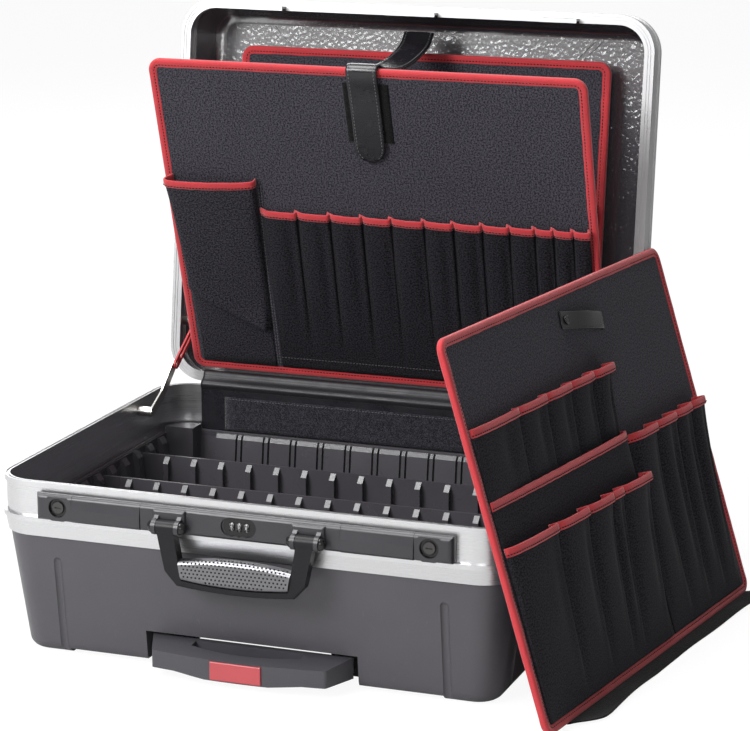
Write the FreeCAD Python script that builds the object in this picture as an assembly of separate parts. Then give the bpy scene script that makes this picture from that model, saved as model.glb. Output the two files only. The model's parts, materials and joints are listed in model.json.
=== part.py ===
import FreeCAD, Part
import math
import os

from FreeCAD import Vector

# A hard tool case on wheels, standing open: a deep lower shell and a shallow lid, each in
# an aluminium rim frame. X runs across the case, Y from the front to the hinges, Z up. All
# pieces are modelled about the middle of the lower case, and then moved so that the
# origin is the middle of the whole object's box, on the floor.
# Lengths are in millimetres and angles in degrees.

# Lower case, outside
CASE_WIDTH = 550.0
CASE_DEPTH = 434.0
RIM_HEIGHT = 184.0
CORNER_RADIUS = 42.0

# Clearances between pieces
RUN_GAP = 0.4
SEAT_GAP = 0.3
OVERRUN = 1.0

# Frame extrusion of the lower case
FRAME_WALL = 7.0
LIP_HEIGHT = 5.5
LIP_INSET = 1.5
BAND_INSET = 3.5
BAND_HEIGHT = 31.0
BEAD_HEIGHT = 5.0
SKIRT_HEIGHT = 15.5
SKIRT_TOP_INSET = 1.5
SKIRT_INSET = 4.0
SKIRT_WALL = 2.0
RIM_GROOVE_INSET = 3.0
RIM_GROOVE_WIDTH = 2.2
RIM_GROOVE_DEPTH = 1.2

# Moulded lower shell
SHELL_WALL = 4.5
SHELL_LEDGE = 6.0
SHELL_DRAFT = 16.0
SHELL_EDGE = 12.0
SHELL_CORNER_GROWTH = 6.0
MIDDLE_LIFT = 5.0
PAD_REACH_X = 75.0
PAD_REACH_Y = 117.0
FLUTE_WIDTH = 9.0
FLUTE_DEPTH = 2.4
FLUTE_TOP = 100.0
FLUTE_FROM_SIDE = 70.0
FLUTE_FROM_END = 66.0

# Trolley channel under the shell
CHANNEL_WIDTH = 226.0
CHANNEL_HEIGHT = 36.0

# Inner tray with ribbed walls
TRAY_WALL = 1.8
TRAY_DROP = 51.5
TRAY_FLOOR_GAP = 1.0
RIB_DROP = 53.0
RIB_PITCH = 32.75
RIB_WIDTH = 12.0
RIB_PROUD = 7.0
PAD_WIDTH = 24.0
PAD_PROUD = 5.0
FIN_WIDTH = 4.0
RIB_COUNT_SIDE = 11
RIB_COUNT_END = 13
CORNER_STEP_WIDTH = 38.0
CORNER_STEP_DEPTH = 28.0
STEP_INSET = 8.0
CORNER_STEP_DROP = 44.0

# Dividers
DIVIDER_WALL = 3.0
DIVIDER_DROP = 58.0
DIVIDER_RIB_WIDTH = 6.0
DIVIDER_RIB_PROUD = 8.0
DIVIDER_RIB_COUNT = 15
DIVIDER_PITCH = 32.75
DIVIDER_END_GAP = 0.9
DIVIDER_FRONT_RIB_COUNT = 6
DIVIDER_REAR_RIB_COUNT = 9

# Rear wall panel, its loop patch and the cover over the hinge
PANEL_SIDE_GAP = 45.0
PANEL_THICKNESS = 1.2
PATCH_SIDE_GAP = 74.0
PATCH_THICKNESS = 1.4
PATCH_MARGIN = 2.0
PATCH_DROP = 11.0
COVER_THICKNESS = 1.2
COVER_FRONT = 1.8
COVER_DEPTH = 5.0

# Lock strip on the front of the lower frame
STRIP_HEIGHT = 27.0
STRIP_DROP = 8.5
STRIP_PROUD = 8.0
STRIP_HALF_LENGTH = 219.0
RAIL_HALF_LENGTH = 105.0
STRIP_EDGE = 2.5
KEY_X = 195.0
KEY_BOSS_RADIUS = 15.0
KEY_LEVER_GAP = 0.5
KEY_RECESS_RADIUS = 9.5
KEY_RECESS_DEPTH = 2.5
KEY_RADIUS = 6.2
KEY_SLOT_LENGTH = 7.0
KEY_SLOT_WIDTH = 1.4
KEY_SLOT_DEPTH = 1.6
WINDOW_WIDTH = 38.0
WINDOW_HEIGHT = 19.0
WINDOW_DEPTH = 2.0
DIAL_RADIUS = 5.3
DIAL_WIDTH = 4.6
DIAL_PITCH = 7.7
DIAL_COUNT = 3
DIAL_NOTCHES = 10
DIAL_NOTCH = 0.8

# Carry handle on its bosses
HANDLE_AXIS_OUT = 15.0
HANDLE_AXIS_DROP = 27.0
HANDLE_X = 73.0
ARM_WIDTH = 19.0
ARM_THICKNESS = 12.0
ARM_TOP_RADIUS = 7.5
HANDLE_DROP = 57.0
HANDLE_SHOULDER_DROP = 45.0
HANDLE_FOOT_HALF = 62.0
HANDLE_SHOULDER_HALF = 73.0
HANDLE_BOW = 3.5
HANDLE_INNER_HALF = 56.0
HANDLE_INNER_DROP = 51.0
GRIP_TOP_DROP = 31.0
GRIP_CROWN = 4.5
GRIP_THICKNESS = 16.0
BOSS_LENGTH = 4.5
BOSS_RADIUS = 8.0
MOUND_PROUD = 3.5
MOUND_MARGIN = 3.0
BOLT_RADIUS = 6.5
BOLT_HEAD = 5.0

# Telescopic trolley under the case
TUBE_X = 92.0
TUBE_Z = 20.0
TUBE_WIDTH = 22.0
TUBE_HEIGHT = 18.0
TUBE_WALL = 1.6
TUBE_GAP = 0.5
TUBE_RADIUS = 3.0
TUBE_FRONT_INSET = 33.0
TUBE_REAR_INSET = 39.0
STAGE_STEP = 4.0
STAGE_TRAVEL = 300.0
TUBE_CLAMP_LENGTH = 24.0
TUBE_CLAMP_WALL = 2.5
PULL_HALF = 92.0
PULL_BACK_HALF = 107.0
PULL_FRONT_OUT = 21.0
PULL_END_OUT = 14.0
PULL_BACK_INSET = 23.0
PULL_BOTTOM = 11.0
PULL_TOP = 28.0
PULL_BULGE = 4.0
PULL_BULGE_HALF = 34.0
PULL_RISE = 5.0
PULL_EDGE = 2.0
FINGER_HALF = 58.0
FINGER_BACK_INSET = 17.0
FINGER_FRONT_INSET = 6.0
FINGER_BOW = 10.0
BUTTON_HALF = 27.0
BUTTON_HEIGHT = 19.0
BUTTON_DEPTH = 9.0
BUTTON_PROUD = 1.2
BUTTON_TRAVEL = 4.0

# Wheels in the rear corners
WHEEL_RADIUS = 27.0
WHEEL_WIDTH = 22.0
WHEEL_SIDE_INSET = 46.0
WHEEL_REAR_INSET = 31.0
WHEEL_Z = 30.0
WHEEL_HUB_RADIUS = 12.0
WHEEL_GROOVE = 2.0
AXLE_RADIUS = 4.0
AXLE_GAP = 0.08
WELL_GAP = 3.0
WELL_WALL = 2.0

# Lid, described shut: its heights are measured up from the rim plane
LID_ANGLE = 97.2
RIM_GAP = 0.4
HINGE_OUT = 1.0
LID_FRAME_HEIGHT = 30.0
LID_LIP_INSET = 12.5
LID_LIP_THICKNESS = 2.5
LID_BEAD_HEIGHT = 4.0
LID_SOCKET = 5.0
LID_HEIGHT = 70.0
LID_SHELL_INSET = 5.0
LID_SHELL_DRAFT = 9.0
LID_SHELL_WALL = 3.5
LID_SHELL_EDGE = 18.0
LID_FLUTE_FROM_END = 55.0
CHEVRON_X = 199.0
CHEVRON_T = 187.0
CHEVRON_RUN = 25.0
CHEVRON_WIDTH = 3.0
CHEVRON_PITCH = 8.0
CHEVRON_HEIGHT = 1.2
CATCH_XS = (-169.0, 0.0, 169.0)
CATCH_WIDTHS = (40.0, 58.0, 40.0)
CATCH_GAP = 1.2
CATCH_WALL = 2.0
CATCH_DROP = 11.0
CATCH_ROOT = 12.0
CATCH_HOOK = 2.5

# Hinges at the rear
HINGE_XS = (-150.0, 0.0, 150.0)
HINGE_WIDTH = 66.0
HINGE_KNUCKLE = 22.0
HINGE_BARREL = 3.4
HINGE_PIN = 1.6
HINGE_LEAF = 1.4
HINGE_LEAF_HEIGHT = 24.0
PIN_GAP = 0.05

# Lid stays, one at each side: places are in the side plane of the open case
STAY_SIDE_INSET = 24.0
STAY_THICKNESS = 2.0
STAY_WIDTH = 11.0
STAY_EYE = 3.0
STAY_BASE_RUN = 93.0
STAY_BASE_DROP = 13.0
STAY_ELBOW_RUN = 32.0
STAY_ELBOW_RISE = 28.0
STAY_LID_T = 67.9
STAY_LID_D = 18.6
STAY_KINK_SHARE = 0.42
STAY_KINK_DROP = 4.0
STAY_PIN = 2.5
STAY_SLOT_WIDTH = 4.0

# Tool boards
BOARD_THICKNESS = 4.0
BOARD_CORNER = 14.0
BINDING_WIDTH = 10.0
BINDING_PROUD = 1.6
BINDING_TUCK = 6.0
BINDING_SEAT = 0.15
TRIM_HEIGHT = 9.0
TRIM_PROUD = 1.0
POCKET_GAP = 1.0
POCKET_FOOT = 1.5
POCKET_SEAT = 0.1
BOARD_HINGE_HALF = 210.0
BOARD_HINGE_DEPTH = 6.0

# Front board in the lid
FRONT_WIDTH = 489.0
FRONT_HEIGHT = 382.0
FRONT_HINGE_T = 19.5
FRONT_HINGE_D = 9.0
FRONT_TILT = 24.7
FRONT_ROW_LEFT = -135.0
FRONT_ROW_RIGHT = 233.5
FRONT_ROW_TOP = 211.0
FRONT_ROW_BOTTOM = 22.0
FRONT_ROW_COUNT = 12
FRONT_ROW_PROUD = 11.0
HOLSTER_LEFT = -233.5
HOLSTER_RIGHT = -137.0
HOLSTER_FOOT_LEFT = -230.0
HOLSTER_FOOT_RIGHT = -150.0
HOLSTER_TOP = 246.0
HOLSTER_BOTTOM = 44.0
HOLSTER_PROUD = 25.0
HOLSTER_WALL = 2.0
FRONT_PATCH_X = -28.0
FRONT_PATCH_WIDTH = 30.0
FRONT_PATCH_BOTTOM = 297.0
FRONT_PATCH_TOP = 366.0
STRAP_X = 5.0
STRAP_WIDTH = 34.0
STRAP_THICKNESS = 3.0
STRAP_LID_T = 405.0
STRAP_LID_D = 20.0
STRAP_DROP = 105.0
STRAP_SAG = 6.0

# Rear board in the lid
REAR_WIDTH = 432.0
REAR_HEIGHT = 363.0
REAR_HINGE_T = 19.5
REAR_HINGE_D = 44.0
REAR_TILT = 8.0
REAR_ROW_TOP = 212.0
REAR_ROW_BOTTOM = 24.0
REAR_ROW_HALF = 203.0
REAR_ROW_COUNT = 8
REAR_ROW_PROUD = 9.0

# Loose board beside the case
LOOSE_WIDTH = 510.0
LOOSE_HEIGHT = 386.0
LOOSE_X = 321.9
LOOSE_Y = -259.0
LOOSE_YAW = 81.8
LOOSE_LEAN = 17.8
LOOSE_SLIDE = 400.0
LOOSE_SLIDE_YAW = -45.0
TIER_LEFT = 12.0
TIER_RIGHT = 314.0
TIER_A_TOP = 287.0
TIER_B_TOP = 218.0
TIER_C_TOP = 172.0
TIER_FOOT = 14.0
TIER_A_COUNT = 5
TIER_C_COUNT = 5
TIER_PROUD = 7.0
SIDE_RIGHT = 496.0
SIDE_TOP = 217.0
SIDE_COUNT = 4
LOOP_LEFT = 246.0
LOOP_RIGHT = 330.0
LOOP_V = 356.0
LOOP_WIDTH = 18.0
LOOP_THICKNESS = 2.0
LOOP_RISE = 9.0
FLAP_START = 45.0
FLAP_END = 503.0
FLAP_WIDTH = 30.0
FLAP_THICKNESS = 2.0
FLAP_TUCK = 1.2

# Places that follow from the sizes above
FRONT_Y = -CASE_DEPTH / 2
REAR_Y = CASE_DEPTH / 2
SIDE_X = CASE_WIDTH / 2
TRAY_TOP = RIM_HEIGHT - TRAY_DROP
RIB_TOP = RIM_HEIGHT - RIB_DROP
CORNER_STEP_TOP = RIM_HEIGHT - CORNER_STEP_DROP
DIVIDER_TOP = RIM_HEIGHT - DIVIDER_DROP
PATCH_TOP = RIM_HEIGHT - PATCH_DROP
STRIP_TOP = RIM_HEIGHT - STRIP_DROP
HANDLE_AXIS_Z = RIM_HEIGHT - HANDLE_AXIS_DROP
STAY_X = SIDE_X - STAY_SIDE_INSET
STAY_BASE_Y = REAR_Y - STAY_BASE_RUN
STAY_BASE_Z = RIM_HEIGHT - STAY_BASE_DROP
STAY_ELBOW_Y = REAR_Y - STAY_ELBOW_RUN
STAY_ELBOW_Z = RIM_HEIGHT + STAY_ELBOW_RISE
WHEEL_X = SIDE_X - WHEEL_SIDE_INSET
WHEEL_Y = REAR_Y - WHEEL_REAR_INSET
TUBE_FRONT = FRONT_Y + TUBE_FRONT_INSET
TUBE_REAR = REAR_Y - TUBE_REAR_INSET
PULL_FRONT_Y = FRONT_Y - PULL_FRONT_OUT
PULL_END_Y = FRONT_Y - PULL_END_OUT
PULL_BACK_Y = FRONT_Y + PULL_BACK_INSET
FINGER_BACK_Y = FRONT_Y + FINGER_BACK_INSET
FINGER_FRONT_Y = FRONT_Y + FINGER_FRONT_INSET
LEVER_HALF_END = KEY_X - KEY_BOSS_RADIUS - KEY_LEVER_GAP
PANEL_HALF_WIDTH = SIDE_X - PANEL_SIDE_GAP
PATCH_HALF_WIDTH = SIDE_X - PATCH_SIDE_GAP
RIM_PLANE = RIM_HEIGHT + RIM_GAP
HINGE_Y = REAR_Y + HINGE_OUT
HINGE_Z = RIM_HEIGHT + RIM_GAP / 2
BAND_TOP = RIM_HEIGHT - LIP_HEIGHT
BAND_BOTTOM = BAND_TOP - BAND_HEIGHT
BEAD_BOTTOM = BAND_BOTTOM - BEAD_HEIGHT
SKIRT_BOTTOM = BEAD_BOTTOM - SKIRT_HEIGHT
SHELL_INSET = SKIRT_INSET + SKIRT_WALL + SEAT_GAP
SHELL_TOP = SKIRT_BOTTOM + SHELL_LEDGE
BAND_FACE_Y = FRONT_Y + BAND_INSET
STRIP_BACK_Y = BAND_FACE_Y - SEAT_GAP
STRIP_FRONT_Y = FRONT_Y - STRIP_PROUD
STRIP_ROUND = (STRIP_BACK_Y - STRIP_FRONT_Y) / 2
STRIP_AXIS_Y = STRIP_FRONT_Y + STRIP_ROUND
STRIP_AXIS_Z = STRIP_TOP - STRIP_ROUND
STRIP_BOTTOM = STRIP_TOP - STRIP_HEIGHT
STRIP_MIDDLE = STRIP_TOP - STRIP_HEIGHT / 2
HANDLE_AXIS_Y = FRONT_Y - HANDLE_AXIS_OUT
TRAY_FLOOR = CHANNEL_HEIGHT + SHELL_WALL + TRAY_FLOOR_GAP
DIVIDER_BOTTOM = TRAY_FLOOR + TRAY_WALL + SEAT_GAP
SHELL_FOOT_INSET = SHELL_INSET + SHELL_DRAFT

X_AXIS = Vector(1, 0, 0)
Y_AXIS = Vector(0, 1, 0)
Z_AXIS = Vector(0, 0, 1)


# Shapes used by many pieces

def box(x0, x1, y0, y1, z0, z1):
    """A block between two corners."""
    return Part.makeBox(x1 - x0, y1 - y0, z1 - z0, Vector(x0, y0, z0))


def rounded_rect(inset, z, radius_growth=0.0):
    """The case's plan outline, drawn in by an inset, at one height."""
    radius = max(CORNER_RADIUS - inset, SKIRT_WALL) + radius_growth
    return corner_rect(CASE_WIDTH - 2 * inset, CASE_DEPTH - 2 * inset, radius, z)


def corner_rect(width, depth, radius, z):
    """A rectangle with round corners about the middle, at one height, as a wire."""
    x, y = width / 2 - radius, depth / 2 - radius
    arcs = []
    for quarter, (sx, sy) in enumerate(((1, 1), (-1, 1), (-1, -1), (1, -1))):
        centre = Vector(sx * x, sy * y, z)
        arcs.append(Part.makeCircle(radius, centre, Z_AXIS, 90 * quarter, 90 * quarter + 90))
    edges = []
    for quarter, arc in enumerate(arcs):
        following = arcs[(quarter + 1) % len(arcs)]
        edges += [arc, Part.makeLine(arc.valueAt(arc.LastParameter),
                                     following.valueAt(following.FirstParameter))]
    return Part.Wire(edges)


def tapered(levels):
    """A solid through plan outlines, each given as (height, inset) or (height, inset, growth)."""
    return Part.makeLoft([rounded_rect(level[1], level[0], *level[2:]) for level in levels],
                         True, True)


def fused(shapes):
    """One solid from pieces that touch or overlap."""
    first = shapes[0]
    whole = first.fuse(shapes[1:]) if len(shapes) > 1 else first
    return whole.removeSplitter()


def prism(points, direction):
    """A closed polygon pushed along a direction."""
    wire = Part.makePolygon(list(points) + [points[0]])
    return Part.Face(wire).extrude(direction)


def rod(radius, start, end):
    """A round bar from one point to another."""
    along = end - start
    return Part.makeCylinder(radius, along.Length, start, along)


def mirrored(shape):
    """The same piece on the other side of the case."""
    return shape.mirror(Vector(0, 0, 0), X_AXIS)


def both_sides(shape):
    """A piece and its mirror image as one group."""
    return Part.makeCompound([shape, mirrored(shape)])


def filleted(shape, radius, pick):
    """The shape with a radius on the edges that pick accepts."""
    return shape.makeFillet(radius, [edge for edge in shape.Edges if pick(edge)])


def side_profile(points, x0, x1):
    """A polygon in the side plane, given as (y, z) points, pushed from x0 to x1."""
    return prism([Vector(x0, y, z) for y, z in points], Vector(x1 - x0, 0, 0))


def ribbon(points, thickness, x0, x1):
    """A strip whose edge follows (y, z) points, with its thickness on the right-hand side."""
    near, far = [], []
    for index, (y, z) in enumerate(points):
        before = points[max(index - 1, 0)]
        after = points[min(index + 1, len(points) - 1)]
        run = math.hypot(after[0] - before[0], after[1] - before[1])
        near.append((y, z))
        far.append((y + (after[1] - before[1]) / run * thickness,
                    z - (after[0] - before[0]) / run * thickness))
    return side_profile(near + far[::-1], x0, x1)


# Lower case

def base_frame():
    """The rim extrusion: lip, band for the locks, bead, and the skirt over the shell."""
    outer = fused([
        tapered([(BAND_TOP, LIP_INSET), (RIM_HEIGHT, LIP_INSET)]),
        tapered([(BAND_BOTTOM, BAND_INSET), (BAND_TOP, BAND_INSET)]),
        tapered([(BEAD_BOTTOM, 0.0), (BAND_BOTTOM, 0.0)]),
        tapered([(SKIRT_BOTTOM, SKIRT_INSET), (BEAD_BOTTOM, SKIRT_TOP_INSET)]),
    ])
    wall = tapered([(SKIRT_BOTTOM - OVERRUN, FRAME_WALL), (RIM_HEIGHT + OVERRUN, FRAME_WALL)])
    skirt = tapered([(SKIRT_BOTTOM - OVERRUN, SKIRT_INSET + SKIRT_WALL),
                     (BEAD_BOTTOM, SKIRT_INSET + SKIRT_WALL)])
    groove_top = RIM_HEIGHT + OVERRUN
    groove_bottom = RIM_HEIGHT - RIM_GROOVE_DEPTH
    groove = tapered([(groove_bottom, RIM_GROOVE_INSET), (groove_top, RIM_GROOVE_INSET)]).cut(
        tapered([(groove_bottom, RIM_GROOVE_INSET + RIM_GROOVE_WIDTH),
                 (groove_top, RIM_GROOVE_INSET + RIM_GROOVE_WIDTH)]))
    return outer.cut([wall, skirt, groove] + hinge_notches())


def shell_inset(z):
    """How far the shell's outside is drawn in at a height under its ledge."""
    top = SKIRT_BOTTOM
    return SHELL_INSET + SHELL_DRAFT * (top - z) / top


def flute(x, y, along_x, top, foot_inset, top_inset):
    """A round-ended groove that follows the draft of a wall, as a leaning round bar."""
    radius = (FLUTE_WIDTH ** 2 / 4 + FLUTE_DEPTH ** 2) / (2 * FLUTE_DEPTH)
    sink = radius - FLUTE_DEPTH
    sign_x = math.copysign(1, x)
    sign_y = math.copysign(1, y)
    if along_x:
        start = Vector(x, sign_y * (REAR_Y - foot_inset + sink), -OVERRUN)
        end = Vector(x, sign_y * (REAR_Y - top_inset + sink), top)
    else:
        start = Vector(sign_x * (SIDE_X - foot_inset + sink), y, -OVERRUN)
        end = Vector(sign_x * (SIDE_X - top_inset + sink), y, top)
    return rod(radius, start, end).fuse(Part.makeSphere(radius, end))


def base_flutes():
    """The eight grooves beside the corner columns."""
    foot, top = shell_inset(-OVERRUN), shell_inset(FLUTE_TOP)
    cuts = []
    for sx in (-1, 1):
        for sy in (-1, 1):
            cuts.append(flute(sx * (SIDE_X - FLUTE_FROM_SIDE), sy * REAR_Y, True,
                              FLUTE_TOP, foot, top))
            cuts.append(flute(sx * SIDE_X, sy * (REAR_Y - FLUTE_FROM_END), False,
                              FLUTE_TOP, foot, top))
    return cuts


def wheel_round(radius, half_width, x):
    """A disc about a wheel's axle."""
    return rod(radius, Vector(x - half_width, WHEEL_Y, WHEEL_Z),
               Vector(x + half_width, WHEEL_Y, WHEEL_Z))


def wheel_wells(radius, half_width):
    """The space round each rear wheel, open downwards and to the rear."""
    wells = []
    for sx in (-1, 1):
        disc = wheel_round(radius, half_width, sx * WHEEL_X)
        x0, x1 = sx * WHEEL_X - half_width, sx * WHEEL_X + half_width
        wells.append(disc.fuse(box(x0, x1, WHEEL_Y - radius, REAR_Y, -OVERRUN, WHEEL_Z)))
    return wells


def channel(width, top):
    """The space for the trolley, open downwards and to the front."""
    return box(-width / 2, width / 2, FRONT_Y - OVERRUN,
               TUBE_REAR + TUBE_WALL + SHELL_WALL + width / 2 - CHANNEL_WIDTH / 2,
               -OVERRUN, top)


def base_shell():
    """The deep moulded shell, standing on four corner columns."""
    growth = SHELL_CORNER_GROWTH
    ledge_top = SHELL_TOP
    body = tapered([(0.0, SHELL_FOOT_INSET, growth), (SKIRT_BOTTOM, SHELL_INSET)])
    body = filleted(body, SHELL_EDGE, lambda edge: edge.BoundBox.ZMax < OVERRUN)
    collar = tapered([(SKIRT_BOTTOM, SHELL_INSET), (ledge_top, SHELL_INSET)])
    body = fused([body, collar])
    pad_x, pad_y = SIDE_X - PAD_REACH_X, REAR_Y - PAD_REACH_Y
    relief = [box(-pad_x, pad_x, FRONT_Y, REAR_Y, -OVERRUN, MIDDLE_LIFT),
              box(-SIDE_X, SIDE_X, -pad_y, pad_y, -OVERRUN, MIDDLE_LIFT)]
    body = body.cut(relief + base_flutes() + wheel_wells(WHEEL_RADIUS + WELL_GAP,
                                                         WHEEL_WIDTH / 2 + WELL_GAP))
    floor = MIDDLE_LIFT + SHELL_WALL
    cavity = tapered([(floor, shell_inset(floor) + SHELL_WALL, growth),
                      (SKIRT_BOTTOM, SHELL_INSET + SHELL_WALL),
                      (ledge_top + OVERRUN, SHELL_INSET + SHELL_WALL)])
    cavity = filleted(cavity, SHELL_EDGE - SHELL_WALL,
                      lambda edge: edge.BoundBox.ZMax < floor + OVERRUN)
    cavity = cavity.cut([channel(CHANNEL_WIDTH + 2 * SHELL_WALL, CHANNEL_HEIGHT + SHELL_WALL)]
                        + wheel_wells(WHEEL_RADIUS + WELL_GAP + SHELL_WALL,
                                      WHEEL_WIDTH / 2 + WELL_GAP + SHELL_WALL))
    return body.cut([cavity, channel(CHANNEL_WIDTH, CHANNEL_HEIGHT)])


def tray_inset(z):
    """How far the tray's outside is drawn in at a height."""
    return shell_inset(min(z, SKIRT_BOTTOM)) + SHELL_WALL + SEAT_GAP


def round_top_rib(half_width, proud, top, bottom):
    """A vertical rib on the plane y = 0, proud towards -Y, sloping into the wall at its top."""
    points = [(0.0, bottom), (-proud, bottom), (-proud, top - proud), (-proud / 2, top), (0.0, top)]
    rib = side_profile(points, -half_width, half_width)
    return rib


def wall_rib(x, y, turn, half_width, proud, top):
    """A rib stood against a tray wall, leaning with the wall's draft."""
    rib = round_top_rib(half_width, proud, top, TRAY_FLOOR)
    lean = math.degrees(math.atan2(SHELL_DRAFT, SKIRT_BOTTOM))
    rib.translate(Vector(0, TRAY_WALL / 2, 0))
    rib.rotate(Vector(0, 0, top), X_AXIS, -lean)
    rib.rotate(Vector(0, 0, 0), Z_AXIS, turn)
    rib.translate(Vector(x, y, 0))
    return rib


def tray_ribs():
    """Round ribs on the side walls, and wide pads with thin fins between on the end walls."""
    inset = tray_inset(RIB_TOP) + TRAY_WALL
    half_x, half_y = SIDE_X - inset, REAR_Y - inset
    ribs = []
    for index in range(RIB_COUNT_SIDE):
        y = (index - (RIB_COUNT_SIDE - 1) / 2) * RIB_PITCH
        ribs.append(wall_rib(-half_x, y, 90, RIB_WIDTH / 2, RIB_PROUD, RIB_TOP))
        ribs.append(wall_rib(half_x, y, -90, RIB_WIDTH / 2, RIB_PROUD, RIB_TOP))
    for index in range(RIB_COUNT_END):
        x = (index - (RIB_COUNT_END - 1) / 2) * RIB_PITCH
        for turn, y in ((0, half_y), (180, -half_y)):
            ribs.append(wall_rib(x, y, turn, PAD_WIDTH / 2, PAD_PROUD, RIB_TOP))
            if index:
                ribs.append(wall_rib(x - RIB_PITCH / 2, y, turn, FIN_WIDTH / 2, PAD_PROUD,
                                     RIB_TOP))
    return ribs


def corner_steps():
    """Raised blocks in the tray's rear corners, over the wheel houses."""
    half_x, half_y = SIDE_X - STEP_INSET, REAR_Y - STEP_INSET
    wall_top = TRAY_TOP - TRAY_WALL
    lower = tapered([(TRAY_FLOOR, tray_inset(TRAY_FLOOR), SHELL_CORNER_GROWTH),
                     (SKIRT_BOTTOM, tray_inset(SKIRT_BOTTOM)),
                     (TRAY_TOP, tray_inset(SKIRT_BOTTOM))])
    upper = tapered([(wall_top, tray_inset(SKIRT_BOTTOM)), (CORNER_STEP_TOP,
                                                           tray_inset(SKIRT_BOTTOM))])
    steps = []
    for sx in (-1, 1):
        x0, x1 = sorted((sx * half_x, sx * (half_x - CORNER_STEP_WIDTH)))
        block = box(x0, x1, half_y - CORNER_STEP_DEPTH, half_y, TRAY_FLOOR, CORNER_STEP_TOP)
        steps.append(block.common(lower.fuse(upper)))
    return steps


def base_tray():
    """The formed lining of the shell, with its ribs, cut clear of the wheel houses."""
    growth = SHELL_CORNER_GROWTH
    outer = tapered([(TRAY_FLOOR, tray_inset(TRAY_FLOOR), growth),
                     (SKIRT_BOTTOM, tray_inset(SKIRT_BOTTOM)),
                     (TRAY_TOP, tray_inset(SKIRT_BOTTOM))])
    top = TRAY_TOP + OVERRUN
    inner = tapered([(TRAY_FLOOR + TRAY_WALL, tray_inset(TRAY_FLOOR) + TRAY_WALL, growth),
                     (SKIRT_BOTTOM, tray_inset(SKIRT_BOTTOM) + TRAY_WALL),
                     (top, tray_inset(SKIRT_BOTTOM) + TRAY_WALL)])
    lining = fused([outer.cut(inner)] + [rib.common(outer) for rib in tray_ribs()]
                   + corner_steps())
    house = WHEEL_RADIUS + WELL_GAP + SHELL_WALL + SEAT_GAP
    house_half = WHEEL_WIDTH / 2 + WELL_GAP + SHELL_WALL + SEAT_GAP
    return lining.cut(wheel_wells(house, house_half))


def divider(rib_count):
    """A cross wall with ribs on both faces, standing behind so many of the side ribs."""
    y = (rib_count - RIB_COUNT_SIDE / 2) * RIB_PITCH
    inset = tray_inset(DIVIDER_BOTTOM) + TRAY_WALL + DIVIDER_END_GAP
    inset_top = tray_inset(DIVIDER_TOP) + TRAY_WALL + DIVIDER_END_GAP
    half_foot, half_top = SIDE_X - inset, SIDE_X - inset_top
    plate = prism([Vector(-half_foot, y - DIVIDER_WALL / 2, DIVIDER_BOTTOM),
                   Vector(half_foot, y - DIVIDER_WALL / 2, DIVIDER_BOTTOM),
                   Vector(half_top, y - DIVIDER_WALL / 2, DIVIDER_TOP),
                   Vector(-half_top, y - DIVIDER_WALL / 2, DIVIDER_TOP)],
                  Vector(0, DIVIDER_WALL, 0))
    outline = [(0.0, DIVIDER_TOP), (DIVIDER_RIB_PROUD, DIVIDER_TOP - DIVIDER_RIB_PROUD),
               (DIVIDER_RIB_PROUD, DIVIDER_BOTTOM), (-DIVIDER_RIB_PROUD, DIVIDER_BOTTOM),
               (-DIVIDER_RIB_PROUD, DIVIDER_TOP - DIVIDER_RIB_PROUD)]
    ribs = []
    for index in range(DIVIDER_RIB_COUNT):
        x = (index - (DIVIDER_RIB_COUNT - 1) / 2) * DIVIDER_PITCH
        ribs.append(side_profile([(y + out, z) for out, z in outline],
                                 x - DIVIDER_RIB_WIDTH / 2, x + DIVIDER_RIB_WIDTH / 2))
    return fused([plate] + ribs)


def rear_wall_panel():
    """The vinyl panel on the rear wall of the frame."""
    back = REAR_Y - FRAME_WALL - SEAT_GAP
    return box(-PANEL_HALF_WIDTH, PANEL_HALF_WIDTH, back - PANEL_THICKNESS, back,
               SHELL_TOP + SEAT_GAP, RIM_HEIGHT - SEAT_GAP)


def rear_patch():
    """The loop patch on the rear wall panel."""
    back = REAR_Y - FRAME_WALL - SEAT_GAP - PANEL_THICKNESS
    return box(-PATCH_HALF_WIDTH, PATCH_HALF_WIDTH, back - PATCH_THICKNESS, back,
               SHELL_TOP + PATCH_MARGIN, PATCH_TOP)


def hinge_cover():
    """The soft cover from the rear wall panel over the hinge line and the lid's lip."""
    foot = REAR_Y - FRAME_WALL - SEAT_GAP - COVER_THICKNESS
    lip_t = LID_LIP_INSET + HINGE_OUT
    points = [(foot, RIM_HEIGHT), (foot, RIM_HEIGHT + 2 * COVER_THICKNESS),
              lid_point(lip_t / 2, -COVER_FRONT),
              lid_point(lip_t, -COVER_FRONT), lid_point(lip_t + COVER_FRONT, -SEAT_GAP),
              lid_point(lip_t + COVER_FRONT, COVER_DEPTH)]
    return ribbon(points, COVER_THICKNESS, -PANEL_HALF_WIDTH, PANEL_HALF_WIDTH)


# Lock strip

def strip_section(x0, x1, proud=0.0):
    """The lock strip's section: flat back, round top about the lever's pivot, soft foot."""
    front = STRIP_FRONT_Y - proud
    foot = STRIP_BOTTOM
    top_round = rod(STRIP_ROUND, Vector(x0, STRIP_AXIS_Y, STRIP_AXIS_Z),
                    Vector(x1, STRIP_AXIS_Y, STRIP_AXIS_Z))
    body = side_profile([(STRIP_BACK_Y, STRIP_AXIS_Z), (STRIP_FRONT_Y, STRIP_AXIS_Z),
                         (front, STRIP_MIDDLE), (front, foot + STRIP_EDGE),
                         (front + STRIP_EDGE, foot), (STRIP_BACK_Y, foot)], x0, x1)
    return fused([top_round, body])


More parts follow.
